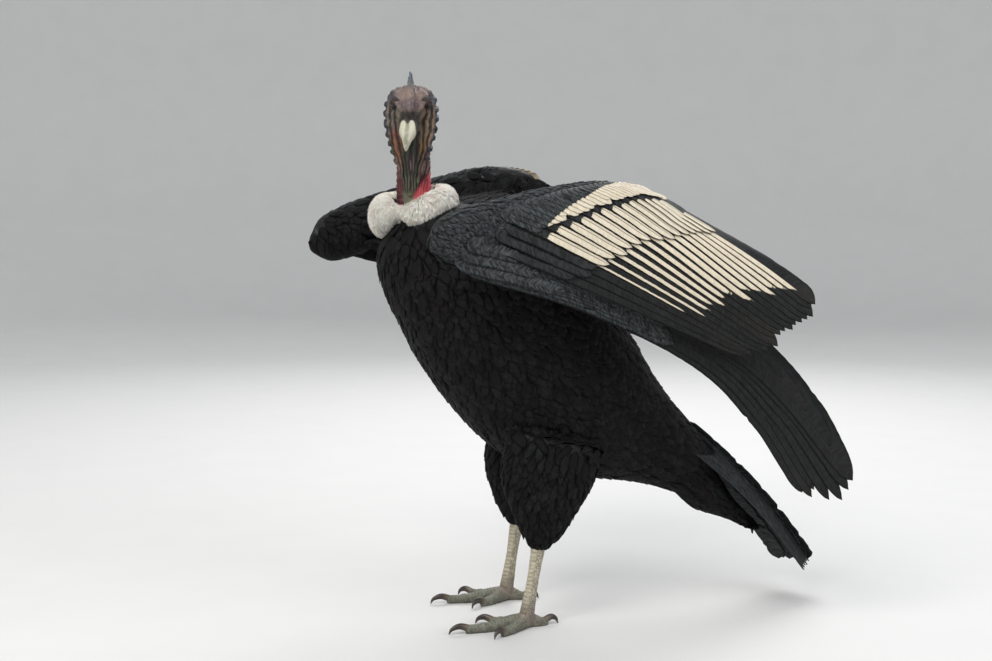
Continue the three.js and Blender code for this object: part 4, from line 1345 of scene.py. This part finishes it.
def head_skin():
    """The bare skin of the head and neck, with its folds, beads, wrinkles, ears and lids."""
    mesh = fused("head", head_shells(), HEAD_VOXEL, 6)
    P, N = points_of(mesh), normals_of(mesh)
    a, l, o = in_head(P).T
    comb = smooth(o, 27, 35) * smooth(np.abs(l), 14, 9) * smooth(a, 60, 54)
    flat = smooth(o, 16, 34) * (1 - smooth(np.abs(l), 13, 7) * smooth(o, 30, 40))
    P = P - OVER * (CROWN_DROP * flat)[:, None]
    f = (P - HEAD_CENTRE) @ FACING
    z = P[:, 2]
    push = np.zeros(len(P))
    # the comb: a leathery plate that thins towards its lumpy edge
    edge = smooth(o, 44, 56)
    P = P - LEFT * (l * comb * mix(-0.25, 0.6, smooth(o, 34, 58)))[:, None]
    lumps = 1.2 * pebbles(P * [1, 1, 0.7], 11, 3) - 0.6 + 0.7 * noise(P, 4, 4)
    push += comb * (lumps + edge * 1.2 * pebbles(P, 7, 5))
    # folds down the face and throat, with beaded outer edges
    front = smooth(N @ FACING, -0.1, 0.45)
    folded = front * smooth(z, 914, 898) * smooth(z, 752, 764) * smooth(f, 44, 34)
    phase = fold_phase(P, l)
    ridge = np.cos(2 * np.pi * phase)
    push += folded * (1.35 * ridge + 0.5 * pebbles(P, 4.6, 7))
    lappet = np.zeros(len(P))
    for side in (1, -1):
        far = distance_to(lappet_path(side), 60, P)
        lappet = np.maximum(lappet, smooth(far, 21, 15) * smooth(l * side, 2, 8))
    outer = lappet * smooth(np.abs(N @ LEFT), 0.45, 0.8) * smooth(z, 800, 812) * smooth(z, 930, 918)
    beads = smooth(np.cos(2 * np.pi * z / 16.5 + 2.6 * noise(P, 24, 63) + l * 0.05), -0.5, 0.7)
    push += outer * (3.8 * beads + 1.0 * pebbles(P, 6, 8) - 1.2)
    push += lappet * (1 - outer) * (1 - front) * (1.1 * pebbles(P, 5.2, 9) - 0.4)
    far = distance_to(on_face(*WATTLE), 50, P)
    wattle = smooth(far, 19, 14) * smooth(np.abs(l), 18, 11)
    # the neck: wrinkled, with cross folds and fleshy lumps
    neck = smooth(z, 872, 850) * (1 - np.maximum(lappet, wattle)) * (1 - 0.6 * folded)
    centre = spline(NECK, np.clip((z - 692) / 208, 0, 1))
    around = np.arctan2(P[:, 1] - centre[:, 1], P[:, 0] - centre[:, 0])
    push += neck * (0.8 * np.sin((z + 6 * noise(P, 18, 12)) * 2 * np.pi / 9.5)
                    + 0.8 * np.sin(around * 15 + 2.6 * noise(P, 22, 13)) + 1.1 * pebbles(P, 5.2, 14) - 0.5)
    # the crown, cheeks and forehead
    skull = (1 - np.maximum(np.maximum(lappet, wattle), comb)) * smooth(z, 858, 872) * (1 - 0.7 * folded)
    brow = smooth(a, 18, 34) * smooth(o, 4, 14)
    push += skull * (0.9 * pebbles(P, 4.8, 15) - 0.35 + 0.6 * noise(P, 9, 16))
    push += skull * brow * (1.5 * pebbles(P, 9, 17) - 0.7)
    push += skull * smooth(a, 4, -12) * (1.5 * pebbles(P, 8, 18) - 0.6)
    # the ear, behind and below the eye
    for side in (1, -1):
        ear = on_head([-18, 31 * side, -2])[0]
        far = np.linalg.norm((P - ear) * [1, 1, 0.8], axis=1)
        push += -4.5 * smooth(far, 7, 2) + 1.2 * smooth(far, 11, 8) * smooth(far, 5, 7)
    # the lids and sockets, which keep smooth
    for side in (1, -1):
        push *= smooth(np.linalg.norm(P - eye_frame(side)[0], axis=1), 11.5, 17)
    P = P + N * push[:, None]
    lids = np.zeros(len(P))
    for side in (1, -1):
        middle, out, forward, up = eye_frame(side)
        away = P - middle
        far = np.linalg.norm(away, axis=1)
        way = unit(away)
        angle = np.arccos(np.clip(way @ out, -1, 1))
        turn = np.arctan2(way @ up, way @ forward)
        gap = opening(turn)
        outside = smooth(far, 15.5, 12.2)
        lid = LID_RADIUS + 0.5 * np.sin((angle - gap) * 21) * smooth(angle - gap, 0.05, 0.2)
        near = (angle < 1.75) & (far < 15.5)
        radius = mix(far, lid, outside)
        radius = np.where(angle < gap, GAP_RADIUS, radius)
        P[near] = (middle + way * radius[:, None])[near]
        lids = np.maximum(lids, near * outside)
    move_points(mesh, P)
    regions = dict(comb=comb, wattle=wattle, skull=skull, lids=lids, outer=outer, folded=folded, phase=phase,
                   ridge=ridge, beads=beads)
    set_data(mesh, "tint", "FLOAT_COLOR", with_alpha(head_colour(P, regions)))
    return mesh


def head_colour(P, regions):
    """The skin's colours, by its features: slate comb, taupe brow, ochre cheeks, red neck."""
    a, l, _ = in_head(P).T
    z = P[:, 2]
    front = smooth((P - HEAD_CENTRE) @ FACING, -14, 4)
    colour = all_of(P, 104, 86, 80)

    def paint(weight, *tint):
        nonlocal colour
        colour = wash(colour, np.clip(weight, 0, 1), *tint)

    def spot(left, height, wide, tall):
        return np.exp(-(((l - left) / wide) ** 2 + ((z - height) / tall) ** 2)) * front

    blotch = noise(P, 13, 31)
    low = smooth(z - 0.8 * np.abs(l), 782, 764)
    red = smooth(z - 1.39 * (l - 10.7), 770, 758) * smooth(l, 2, 10)
    paint(smooth(z, 850, 820) * (1 - front), 104, 76, 76)
    paint(low, 92, 46, 50)
    paint(low * smooth(l, 0, -14) * smooth(blotch, -0.2, 0.4), 66, 30, 36)
    paint(spot(0, 926, 24, 12) * 0.9, 150, 130, 118)
    paint(spot(0, 908, 26, 9) * 0.8, 116, 102, 110)
    paint(spot(0, 918, 28, 16) * smooth(blotch, -0.1, 0.4) * 0.5, 118, 94, 96)
    paint(spot(-35, 926, 9, 15) + spot(36, 924, 9, 15), 56, 60, 70)
    paint(spot(-27, 886, 16, 26), 118, 112, 100)
    paint(spot(-22, 836, 14, 26), 124, 80, 54)
    paint(spot(-26, 858, 5, 11), 138, 82, 72)
    paint(spot(27, 872, 16, 34), 116, 98, 76)
    paint(spot(20, 836, 5, 16), 150, 118, 74)
    paint(spot(27, 822, 9, 16), 92, 64, 54)
    wattle, folded, outer, comb = (regions[name] for name in ("wattle", "folded", "outer", "comb"))
    paint(wattle * front * smooth(z, 872, 860), 60, 62, 50)
    paint(wattle * spot(2, 808, 4, 14), 122, 96, 102)
    paint(wattle * front * smooth(z, 792, 778) * 0.8, 98, 98, 80)
    stripe = np.floor(regions["phase"])
    cells = np.stack([stripe, np.sign(l), 0 * l], -1).astype(np.int64)
    vary = mix(0.66, 1.3, hashed(cells, 71))
    colour *= mix(1, vary, folded * 0.9)[:, None]
    paint(red, 186, 84, 90)
    paint(red * smooth(blotch, 0.1, 0.5), 160, 58, 66)
    # painted shade: the creases between the face's folds are darkened, less where the skin is red
    crease_shade = folded * smooth(regions["ridge"], 0.25, -0.65)
    paint(crease_shade * mix(0.88, 0.35, red), 30, 25, 22)
    paint(outer * smooth(l, 20, 32) * mix(0.6, 1, regions["beads"]), 36, 50, 60)
    paint(outer * smooth(l, -20, -32) * smooth(z, 846, 860), 48, 50, 60)
    paint(outer * smooth(l, -18, -30) * smooth(z, 862, 846), 58, 62, 52)
    paint(smooth(a, 36, 48) * regions["skull"] * smooth(z, 902, 892), 50, 46, 42)
    paint(comb * smooth(z, 930, 946), 102, 106, 104)
    paint(comb * smooth(z, 944, 954), 88, 98, 108)
    paint(comb * smooth(blotch, 0.0, 0.5) * 0.4, 108, 106, 104)
    paint(regions["lids"] * 0.85, 44, 38, 36)
    grain = 1 + 0.16 * noise(P, 3.2, 32) + 0.16 * noise(P, 7, 33)
    return np.clip(colour * grain[:, None], 0.004, 1)


def lid_rim(side):
    """The thick edge of an eye's lids."""
    turn = 2 * np.pi * np.arange(72) / 72
    points, quads = ring_tube(round_eye(side, turn, opening(turn) + 0.05, RIM_RADIUS), 0.95)
    return tinted("rim", points, [quads], all_of(points, 34, 29, 28))


# The bill, eyes and claws
def bill_upper():
    path = on_head([54, -3, -6], [70, -3, -7], [84, -3.5, -10], [93, -4.5, -17], [96.5, -5.5, -25],
                   [96, -6.5, -33])
    surface = tube(path, [[15.5, 14], [16.8, 14.5], [13.5, 13], [8, 9], [4.2, 5], [1.1, 1.1]], OVER)
    rings, sides = 90, 72
    points, quads, caps = shell(surface, rings, sides, 0.0, 0.995)
    a = in_head(points)[:, 0]
    rows = points[:-2].reshape(rings, sides, 3)
    way = np.concatenate([unit(rows - rows.mean(1)[:, None]).reshape(-1, 3), np.zeros((2, 3))])
    over, left = way @ OVER, way @ LEFT

    def from_nostril(side, out, width):
        d = points - on_head([63.5, out * side, 1.5])[0]
        return np.sqrt((d @ AHEAD / 1.9) ** 2 + (d @ OVER) ** 2 + (d @ LEFT / width) ** 2)

    groove = np.exp(-((np.abs(left) - 0.08) / 0.2) ** 2) * smooth(over, 0.6, 0.9) * smooth(a, 92, 84)
    ridge = smooth(over, 0.75, 1.0) * smooth(a, 58, 70)
    side_flat = smooth(np.abs(left), 0.7, 1.0) * smooth(a, 56, 66) * smooth(a, 100, 90)
    hollow = smooth(over, -0.72, -0.95) * smooth(a, 96, 88)
    push = -1.6 * groove + 0.5 * ridge - 1.0 * side_flat - 2.2 * hollow + 0.12 * noise(points, 3.0, 41)
    for side in (1, -1):
        far = from_nostril(side, 12.5, 1.4)
        push += -4.2 * smooth(far, 2.9, 1.2) + 0.7 * np.exp(-((far - 3.6) / 0.9) ** 2)
    points = points + way * push[:, None]
    a, l, o = in_head(points).T
    l += 3.5  # the bill's middle line lies that far to the right
    lobe = 60 + 13 * np.exp(-(l / 4.0) ** 2) + 20 * smooth(np.abs(l), 9, 16)
    ivory = smooth(a - lobe, -1.0, 1.2)
    colour = wash(all_of(points, 62, 60, 58), ivory, 188, 184, 164)
    off = np.abs(l + 2 * smooth(a, 84, 97) + noise(points, 7, 46))
    centre = ivory * smooth(off, 6.0, 1.0) * smooth(over, 0.2, 0.6)
    colour = wash(colour, centre * 0.8, 118, 120, 102)
    # painted shade: the bill is darkened along its underside, where the gape's shade falls
    edge = smooth(over, -0.45, -0.75) * smooth(o, -36, -28)
    colour = wash(colour, edge * 0.8, 58, 50, 42)
    # painted shade: the nostrils' holes are painted near black
    for side in (1, -1):
        colour = wash(colour, smooth(from_nostril(side, 11, 2), 2.8, 1.4), 18, 15, 14)
    colour = colour * (1 + 0.10 * noise(points, 4, 42) + 0.06 * noise(points, 1.5, 43))[:, None]
    return tinted("horn_upper", points, [quads, caps], colour)


def bill_lower():
    path = on_head([54, -3, -20], [68, -3.5, -24], [79, -4.5, -26], [85, -5.5, -26])
    surface = tube(path, [[10, 6], [8.5, 6], [5.5, 5], [1.5, 1.5]], OVER)
    points, quads, caps = shell(surface, 50, 48)
    a, l, _ = in_head(points).T
    colour = wash(all_of(points, 60, 56, 52), smooth(a + np.abs(l) * 0.6, 68, 74), 196, 186, 158)
    colour = colour * (1 + 0.12 * noise(points, 4, 44))[:, None]
    points = points + 0.15 * noise(points, 3, 45)[:, None] * LEFT
    return tinted("horn_lower", points, [quads, caps], colour)


def eye_ball(side):
    middle, out, forward, up = eye_frame(side)

    def surface(t, a):
        angle = np.pi * mix(0.004, 0.996, t)
        cornea = 0.55 * smooth(angle, 0.62, 0.3)
        return round_eye(side, 2 * np.pi * a, angle, (EYE_RADIUS + cornea)[..., None])

    points, quads, caps = shell(surface, 60, 64)
    away = unit(points - middle)
    angle = np.arccos(np.clip(away @ out, -1, 1))
    turn = np.arctan2(away @ up, away @ forward)
    gaze = np.stack([np.sin(angle) * np.cos(turn), np.sin(angle) * np.sin(turn), angle], -1)
    name = "eyeball_left" if side > 0 else "eyeball_right"
    return build_mesh(name, points, [quads, caps], [("gaze", "FLOAT_VECTOR", gaze)])


def claw(leg, toe):
    name, heading, length, _, claw_length = toe
    path = np.array(leg.claw(heading, length, claw_length))
    points, quads, caps = shell(tube(path, [[5.5, 6.5], [4.5, 5.5], [2.8, 3.4], [0.8, 0.8]], Z), 40, 24)
    along = (points - leg.foot) @ leg.way(heading) - length
    colour = wash(all_of(points, 96, 84, 70), smooth(along, -2, claw_length * 0.4), 48, 40, 34)
    colour = wash(colour, smooth(along, claw_length * 0.7, claw_length) * 0.6, 86, 74, 58)
    points[:, 2] = np.maximum(points[:, 2], 0.05)
    return tinted(f"talon_{leg.name}_{name}", points, [quads, caps], colour)


# Feet: scaled skin over the shank and toes
def foot_skin(leg):
    shells = [shell(leg.shank(), 40, 28)]
    for _, heading, length, half, _ in TOES:
        shells.append(shell(leg.digit(heading, length, half), 30, 24))
        for place in (0.42, 0.72) if length > 60 else (0.6,):
            knuckle = leg.on_toe(heading, length * place, 9 - 2 * place)
            shells.append(shell(blob(knuckle, [half * 1.12, half * 1.12, 9.5], 0.03), 12, 16))
    mesh = fused("foot", shells, FOOT_VOXEL, 4)
    P, N = points_of(mesh), normals_of(mesh)
    best = np.full(len(P), 1e9)
    along, across = np.zeros(len(P)), np.zeros(len(P))
    for _, heading, length, half, _ in TOES:
        way = leg.way(heading)
        run, off = (P - leg.foot) @ way, (P - leg.foot) @ np.cross(Z, way)
        far = np.hypot(off, np.minimum(run, 0)) + np.maximum(run - length - 4, 0)
        better = far < best
        best = np.where(better, far, best)
        along, across = np.where(better, run, along), np.where(better, off / half, across)
    shank = smooth(P[:, 2], 24, 34)
    scutes = np.abs(np.sin(along * np.pi / 6.2)) ** 0.5
    rings = np.abs(np.sin((P[:, 2] + 1.5 * noise(P, 9, 51)) * np.pi / 7.0)) ** 0.5
    top = smooth(N[:, 2], 0.15, 0.55) * (1 - shank)
    front = smooth(-N[:, 1], 0.1, 0.5) * shank
    rest = 1 - np.maximum(top, front)
    beads = pebbles(P, 3.4, 52)
    push = top * (1.0 * scutes - 0.8) + front * (0.9 * rings - 0.7) + rest * (0.75 * beads - 0.5)
    P = P + N * push[:, None]
    P[:, 2] = np.maximum(P[:, 2], 0.0)
    move_points(mesh, P)
    groove = top * (1 - scutes) + front * (1 - rings) + rest * (1 - beads)
    ball = np.exp(-(np.linalg.norm((P - leg.foot) * [1, 1, 1.2], axis=1) / 20) ** 2)
    colour = all_of(P, 120, 122, 108)
    colour = wash(colour, smooth(P[:, 2], 26, 60), 186, 178, 156)
    colour = wash(colour, ball * 0.7, 168, 142, 130)
    # painted shade: the grooves between the scales are darkened
    colour = wash(colour, np.clip(groove * 0.7, 0, 1), 84, 80, 70)
    colour = wash(colour, smooth(P[:, 2], 5, 0) * 0.6, 96, 92, 80)
    colour = colour * (1 + 0.12 * noise(P, 6, 53))[:, None]
    set_data(mesh, "tint", "FLOAT_COLOR", with_alpha(np.clip(colour, 0, 1)))
    return mesh


def body_colour(points, ground):
    """Black, with a white ruff and white under the wing's band, like the coat over it."""
    region = ground.region[ground.tree.find(points)]
    colour = all_of(points, 11, 10, 10)
    colour[region == "ruff"] = rgb(206, 196, 184)
    for wing in WINGS:
        sheet = SheetMap(wing.arm)
        here = np.nonzero((region == "arm") & (points[:, 0] * wing.side > 0))[0]
        place = sheet.find(points[here])
        u, v = sheet.u[place], sheet.v[place]
        outer = ((points[here] - sheet.points[place]) * sheet.out[place]).sum(-1) > 0
        colour[here[outer & (u > 0.3) & (v > band_top(u) + 0.01)]] = rgb(196, 186, 168)
    return colour


def union(parts):
    """Joins skins into one closed surface; each carries its tint along."""
    base = add_object(parts[0])
    for part in parts[1:]:
        other = add_object(part)
        modifier = base.modifiers.new("join", "BOOLEAN")
        modifier.operation, modifier.object, modifier.solver = "UNION", other, "MANIFOLD"
    result = after_modifiers(base)
    for made in [o for o in bpy.context.scene.objects if o.data in parts]:
        bpy.data.objects.remove(made)
    mend_tint(result)
    return result


def mend_tint(mesh):
    """Points made where skins join have no tint of their own: they take their neighbours'."""
    stored = mesh.attributes["tint"].data
    tint = read(stored, "color", 4)
    edges = read(mesh.edges, "vertices", 2, np.int32)
    edges = np.concatenate([edges, edges[:, ::-1]])
    for _ in range(4):
        bare = tint[:, :3].min(1) > 0.97
        use = edges[bare[edges[:, 0]] & ~bare[edges[:, 1]]]
        total = np.zeros((len(tint), 4))
        np.add.at(total, use[:, 0], np.c_[tint[use[:, 1], :3], np.ones(len(use))])
        got = total[:, 3] > 0
        tint[got, :3] = total[got, :3] / total[got, 3:]
    stored.foreach_set("color", tint.ravel())


# Looks
class Look:
    """A material and short ways to add its nodes."""

    def __init__(self, name):
        self.material = bpy.data.materials.new(name)
        self.material.use_nodes = True
        self.tree = self.material.node_tree
        self.surface = next(n for n in self.tree.nodes if n.type == "BSDF_PRINCIPLED")

    def feed(self, node, inputs):
        for key, value in inputs.items():
            if isinstance(value, bpy.types.NodeSocket):
                self.tree.links.new(value, node.inputs[key])
            else:
                node.inputs[key].default_value = value

    def node(self, kind, inputs=(), out=0, **settings):
        made = self.tree.nodes.new("ShaderNode" + kind)
        for key, value in settings.items():
            setattr(made, key, value)
        self.feed(made, dict(inputs))
        return made.outputs[out]

    def math(self, operation, *values, clamp=False):
        return self.node("Math", enumerate(values), operation=operation, use_clamp=clamp)

    def ramp(self, value, low, high, to_low=0.0, to_high=1.0):
        inputs = {"Value": value, "From Min": low, "From Max": high, "To Min": to_low, "To Max": to_high}
        return self.node("MapRange", inputs, interpolation_type="SMOOTHSTEP")

    def blend(self, factor, a, b):
        return self.node("Mix", {0: factor, 6: a, 7: b}, out=2, data_type="RGBA")

    def attribute(self, name, out="Vector"):
        return self.node("Attribute", attribute_name=name, out=out)

    def split(self, vector):
        return list(self.node("SeparateXYZ", {0: vector}).node.outputs)

    def join(self, x, y, z):
        return self.node("CombineXYZ", {0: x, 1: y, 2: z})

    def place(self):
        return self.node("NewGeometry", out="Position")

    def times(self, vector, by):
        return self.node("VectorMath", {0: vector, 1: by}, operation="MULTIPLY")

    def noise(self, where, scale, detail=2.0):
        return self.node("TexNoise", {"Vector": where, "Scale": scale, "Detail": detail})

    def bump(self, height, distance, strength):
        return self.node("Bump", {"Height": height, "Distance": distance, "Strength": strength})

    def finish(self, **inputs):
        names = {key.replace("_", " "): value for key, value in inputs.items()}
        self.feed(self.surface, names)
        return self.material


def shade(r, g, b):
    return (*rgb(r, g, b), 1.0)


def plumage(name, black_at, gloss, sheen):
    """Vanes with fine barbs: black, lightened towards slate by their sheen tone as a painted sheen of light
    from above, or cream, with worn tips and pale shafts.
    """
    look = Look(name)
    sheen_slate_at, white_at = shade(72, 78, 80), shade(206, 196, 178)
    run, wide, chance = look.split(look.attribute("vane"))
    white, sheen_tone, share = look.split(look.attribute("look"))
    width = look.math("ABSOLUTE", wide)
    slant = look.math("SUBTRACT", run, look.math("MULTIPLY", width, 0.009))
    cell = look.join(look.math("MULTIPLY", slant, 260.0), look.math("MULTIPLY", wide, 1.3),
                     look.math("MULTIPLY", chance, 97.0))
    streak = look.noise(cell, 1.0, 3.0)
    fine = look.noise(look.join(look.math("MULTIPLY", slant, 1500.0), wide, chance), 1.0, 0.0)
    edge = look.math("ADD", white, look.math("MULTIPLY", look.math("SUBTRACT", streak, 0.5), 0.9))
    pale = look.ramp(edge, -0.12, 0.12)
    # painted sheen: a feather's sheen tone lightens its black towards slate, the sheen that light from above
    # gives black feathers
    painted_sheen = look.math("MULTIPLY", sheen_tone, look.ramp(streak, 0.3, 0.75), clamp=True)
    dark = look.blend(painted_sheen, black_at, sheen_slate_at)
    worn = look.math("MULTIPLY", look.ramp(share, 0.72, 1.0), look.ramp(chance, 0.35, 1.0), clamp=True)
    dark = look.blend(look.math("MULTIPLY", worn, 0.2), dark, shade(60, 52, 46))
    cream = look.blend(look.ramp(streak, 0.25, 0.8), white_at, shade(184, 173, 150))
    shaft = look.ramp(width, 0.05, 0.012)
    cream = look.blend(look.math("MULTIPLY", shaft, look.ramp(sheen_tone, 0.0, 0.3)), cream, shade(72, 62, 54))
    dark = look.blend(look.math("MULTIPLY", shaft, look.math("MULTIPLY", sheen_tone, 0.6)), dark, shade(74, 64, 56))
    colour = look.blend(pale, dark, cream)
    height = look.math("ADD", look.math("MULTIPLY", fine, 0.7), look.math("MULTIPLY", streak, 0.6))
    rough = look.math("ADD", look.math("MULTIPLY", streak, 0.2), gloss)
    return look.finish(Base_Color=colour, Roughness=rough, Normal=look.bump(height, 0.0006, 0.6),
                       Specular_IOR_Level=sheen)


def down_look():
    look = Look("ruff_down")
    run, _, chance = look.split(look.attribute("vane"))
    soft = look.noise(look.place(), 38.0)
    base = look.blend(look.ramp(soft, 0.4, 0.7), shade(226, 220, 210), shade(216, 200, 190))
    base = look.blend(look.ramp(chance, 0.0, 1.0), base, shade(232, 228, 220))
    base = look.blend(look.ramp(run, 0.3, 0.0), base, shade(200, 186, 172))
    return look.finish(Base_Color=base, Roughness=0.85, Specular_IOR_Level=0.15, Subsurface_Weight=0.12,
                       Subsurface_Scale=0.004)


def skin_look():
    look = Look("skin")
    tint = look.attribute("tint", "Color")
    place = look.place()
    fine = look.noise(place, 900.0, 3.0)
    broad = look.noise(place, 160.0)
    creases = look.node("TexVoronoi", {"Vector": place, "Scale": 520.0}, feature="DISTANCE_TO_EDGE")
    # painted shade: the skin is darkened in its fine creases
    dim = look.ramp(creases, 0.0, 0.12, 0.72, 1.0)
    dim = look.math("MULTIPLY", dim, look.ramp(broad, 0.2, 0.8, 0.85, 1.15))
    colour = look.times(tint, look.join(dim, dim, dim))
    height = look.math("ADD", look.math("MULTIPLY", fine, 0.4), look.ramp(creases, 0.0, 0.2))
    rough = look.ramp(broad, 0.3, 0.7, 0.50, 0.68)
    return look.finish(Base_Color=colour, Roughness=rough, Normal=look.bump(height, 0.0004, 0.6),
                       Subsurface_Weight=0.06, Subsurface_Scale=0.003, Specular_IOR_Level=0.3)


def horn_look(name, gloss):
    look = Look(name)
    tint = look.attribute("tint", "Color")
    stretched = look.times(look.place(), (700.0, 700.0, 200.0))
    grain = look.noise(stretched, 1.0, 4.0)
    dim = look.ramp(grain, 0.2, 0.8, 0.82, 1.1)
    colour = look.times(tint, look.join(dim, dim, dim))
    return look.finish(Base_Color=colour, Roughness=look.ramp(grain, 0.3, 0.7, gloss, gloss + 0.15),
                       Normal=look.bump(grain, 0.0003, 0.5), Specular_IOR_Level=0.5)


def eye_look():
    look = Look("eye")
    gaze = look.attribute("gaze")
    angle = look.split(gaze)[2]
    rays = look.noise(look.times(gaze, (9.0, 9.0, 1.0)), 3.0, 3.0)
    iris = look.blend(look.ramp(rays, 0.3, 0.7), shade(34, 20, 13), shade(64, 38, 24))
    colour = look.blend(look.ramp(angle, 0.25, 0.28), shade(6, 5, 5), iris)
    colour = look.blend(look.ramp(angle, 0.5, 0.56), colour, shade(20, 15, 14))
    colour = look.blend(look.ramp(angle, 0.62, 0.75), colour, shade(30, 24, 22))
    return look.finish(Base_Color=colour, Roughness=0.2, Specular_IOR_Level=0.3, Coat_Weight=0.25,
                       Coat_Roughness=0.05)


# The whole bird
rng = np.random.default_rng(SEED)
body = body_skin()
ground = ground_of_body()
set_data(body, "tint", "FLOAT_COLOR", with_alpha(body_colour(points_of(body), ground)))
coats, skin_tree = coat(body, ground, rng)
head = head_skin()
rims = [lid_rim(side) for side in (1, -1)]
feet = [foot_skin(leg) for leg in LEGS]
skin = union([body, head, *rims, *feet])
skin.name = "skin"

FLIGHT = plumage("plumage_flight", shade(11, 10, 10), 0.56, 0.18)
BLACK = plumage("plumage_body", shade(8, 7, 8), 0.62, 0.13)
piece(skin, skin_look(), "head_skin", "trunk", "ruff", "neck", "head", "comb", "tail_coverts_under",
      "wing_left_arm", "wing_left_hand", "wing_right_arm", "wing_right_hand", "leg_left_thigh",
      "leg_right_thigh", "leg_left_foot", "leg_right_foot",
      *(f"toe_{leg.name}_{toe[0]}" for leg in LEGS for toe in TOES))
for name, plumes in coats.items():
    piece(plumes.mesh(name), BLACK, "black_feather")
for wing in WINGS:
    pale, dark = wing_feathers(wing, skin_tree, rng)
    piece(pale.mesh(f"flight_{wing.name}_pale"), FLIGHT, "white_feather", f"wing_{wing.name}_secondaries")
    piece(dark.mesh(f"flight_{wing.name}_dark"), FLIGHT, "black_feather",
          f"wing_{wing.name}_primaries", f"wing_{wing.name}_tertials")
piece(tail_feathers(rng).mesh("flight_tail"), FLIGHT, "black_feather", "tail_feathers")
for name, start in (("ruff_down_left", 0.0), ("ruff_down_right", 0.5)):
    piece(ruff_down(name, rng, STRANDS, start), down_look(), "ruff_down")
horn = horn_look("bill_horn", 0.3)
piece(bill_upper(), horn, "bill_horn", "bill_upper")
piece(bill_lower(), horn, "bill_horn", "bill_lower")
for side, name in ((1, "eye_left"), (-1, "eye_right")):
    piece(eye_ball(side), eye_look(), "eye", name)
claws = horn_look("claw", 0.32)
for leg in LEGS:
    for toe in TOES:
        piece(claw(leg, toe), claws, "claw", f"claw_{leg.name}_{toe[0]}")


# Floor, light and camera
def studio():
    """A pale floor that curves up far behind the bird, all round."""
    radius = np.array([0.02, 1.0, 2.5, 5.0, 6.5, 7.6, 8.2, 8.4, 8.4])[:, None]
    height = np.array([0.0, 0.0, 0.0, 0.0, 0.12, 0.7, 1.8, 3.2, 5.0])[:, None]
    sides = 96
    turn = 2 * np.pi * np.arange(sides) / sides
    points = np.stack([radius * np.cos(turn), radius * np.sin(turn), height + 0 * turn], -1).reshape(-1, 3)
    quads = turned_over(tube_faces(1, len(radius), sides)[0])
    mesh = build_mesh("studio_floor", points * 1000 + BOX_CENTRE, [quads, np.arange(sides)[None]])
    look = Look("studio_floor")
    colour = look.blend(look.noise(look.place(), 6.0, 4.0), shade(205, 205, 203), shade(211, 210, 208))
    floor = add_object(mesh, look.finish(Base_Color=colour, Roughness=0.8))


def area_light(name, power, size, place, aim, tint=(1, 1, 1)):
    lamp = bpy.data.lights.new(name, "AREA")
    lamp.energy, lamp.size, lamp.color = power, size, tint
    made = bpy.data.objects.new(name, lamp)
    made.location = place
    made.rotation_euler = (Vector(aim) - Vector(place)).to_track_quat("-Z", "Y").to_euler()
    bpy.context.scene.collection.objects.link(made)


studio()
area_light("key", 190, 2.6, (2.6, -2.6, 3.6), (0, 0, 0.5), (1.0, 0.98, 0.95))
area_light("fill", 90, 3.0, (3.4, 2.4, 2.2), (0, 0, 0.5), (0.93, 0.96, 1.0))
area_light("back", 130, 2.4, (-3.0, 1.4, 3.4), (0, 0, 0.6))
world = bpy.data.worlds.new("world")
world.use_nodes = True
sky = world.node_tree.nodes["Background"].inputs
sky["Color"].default_value = (0.92, 0.95, 1.0, 1)
sky["Strength"].default_value = 0.75
scene = bpy.context.scene
scene.world = world
scene.view_settings.view_transform = "Standard"
scene.view_settings.exposure = -0.15

lens = bpy.data.cameras.new("camera")
lens.lens, lens.sensor_width = 54.4, 36.0
camera = bpy.data.objects.new("camera", lens)
camera.location = (2.5546, -0.9355, 0.720)
camera.rotation_euler = (math.radians(85.6), 0.0, math.radians(73.3))
scene.collection.objects.link(camera)
scene.camera = camera
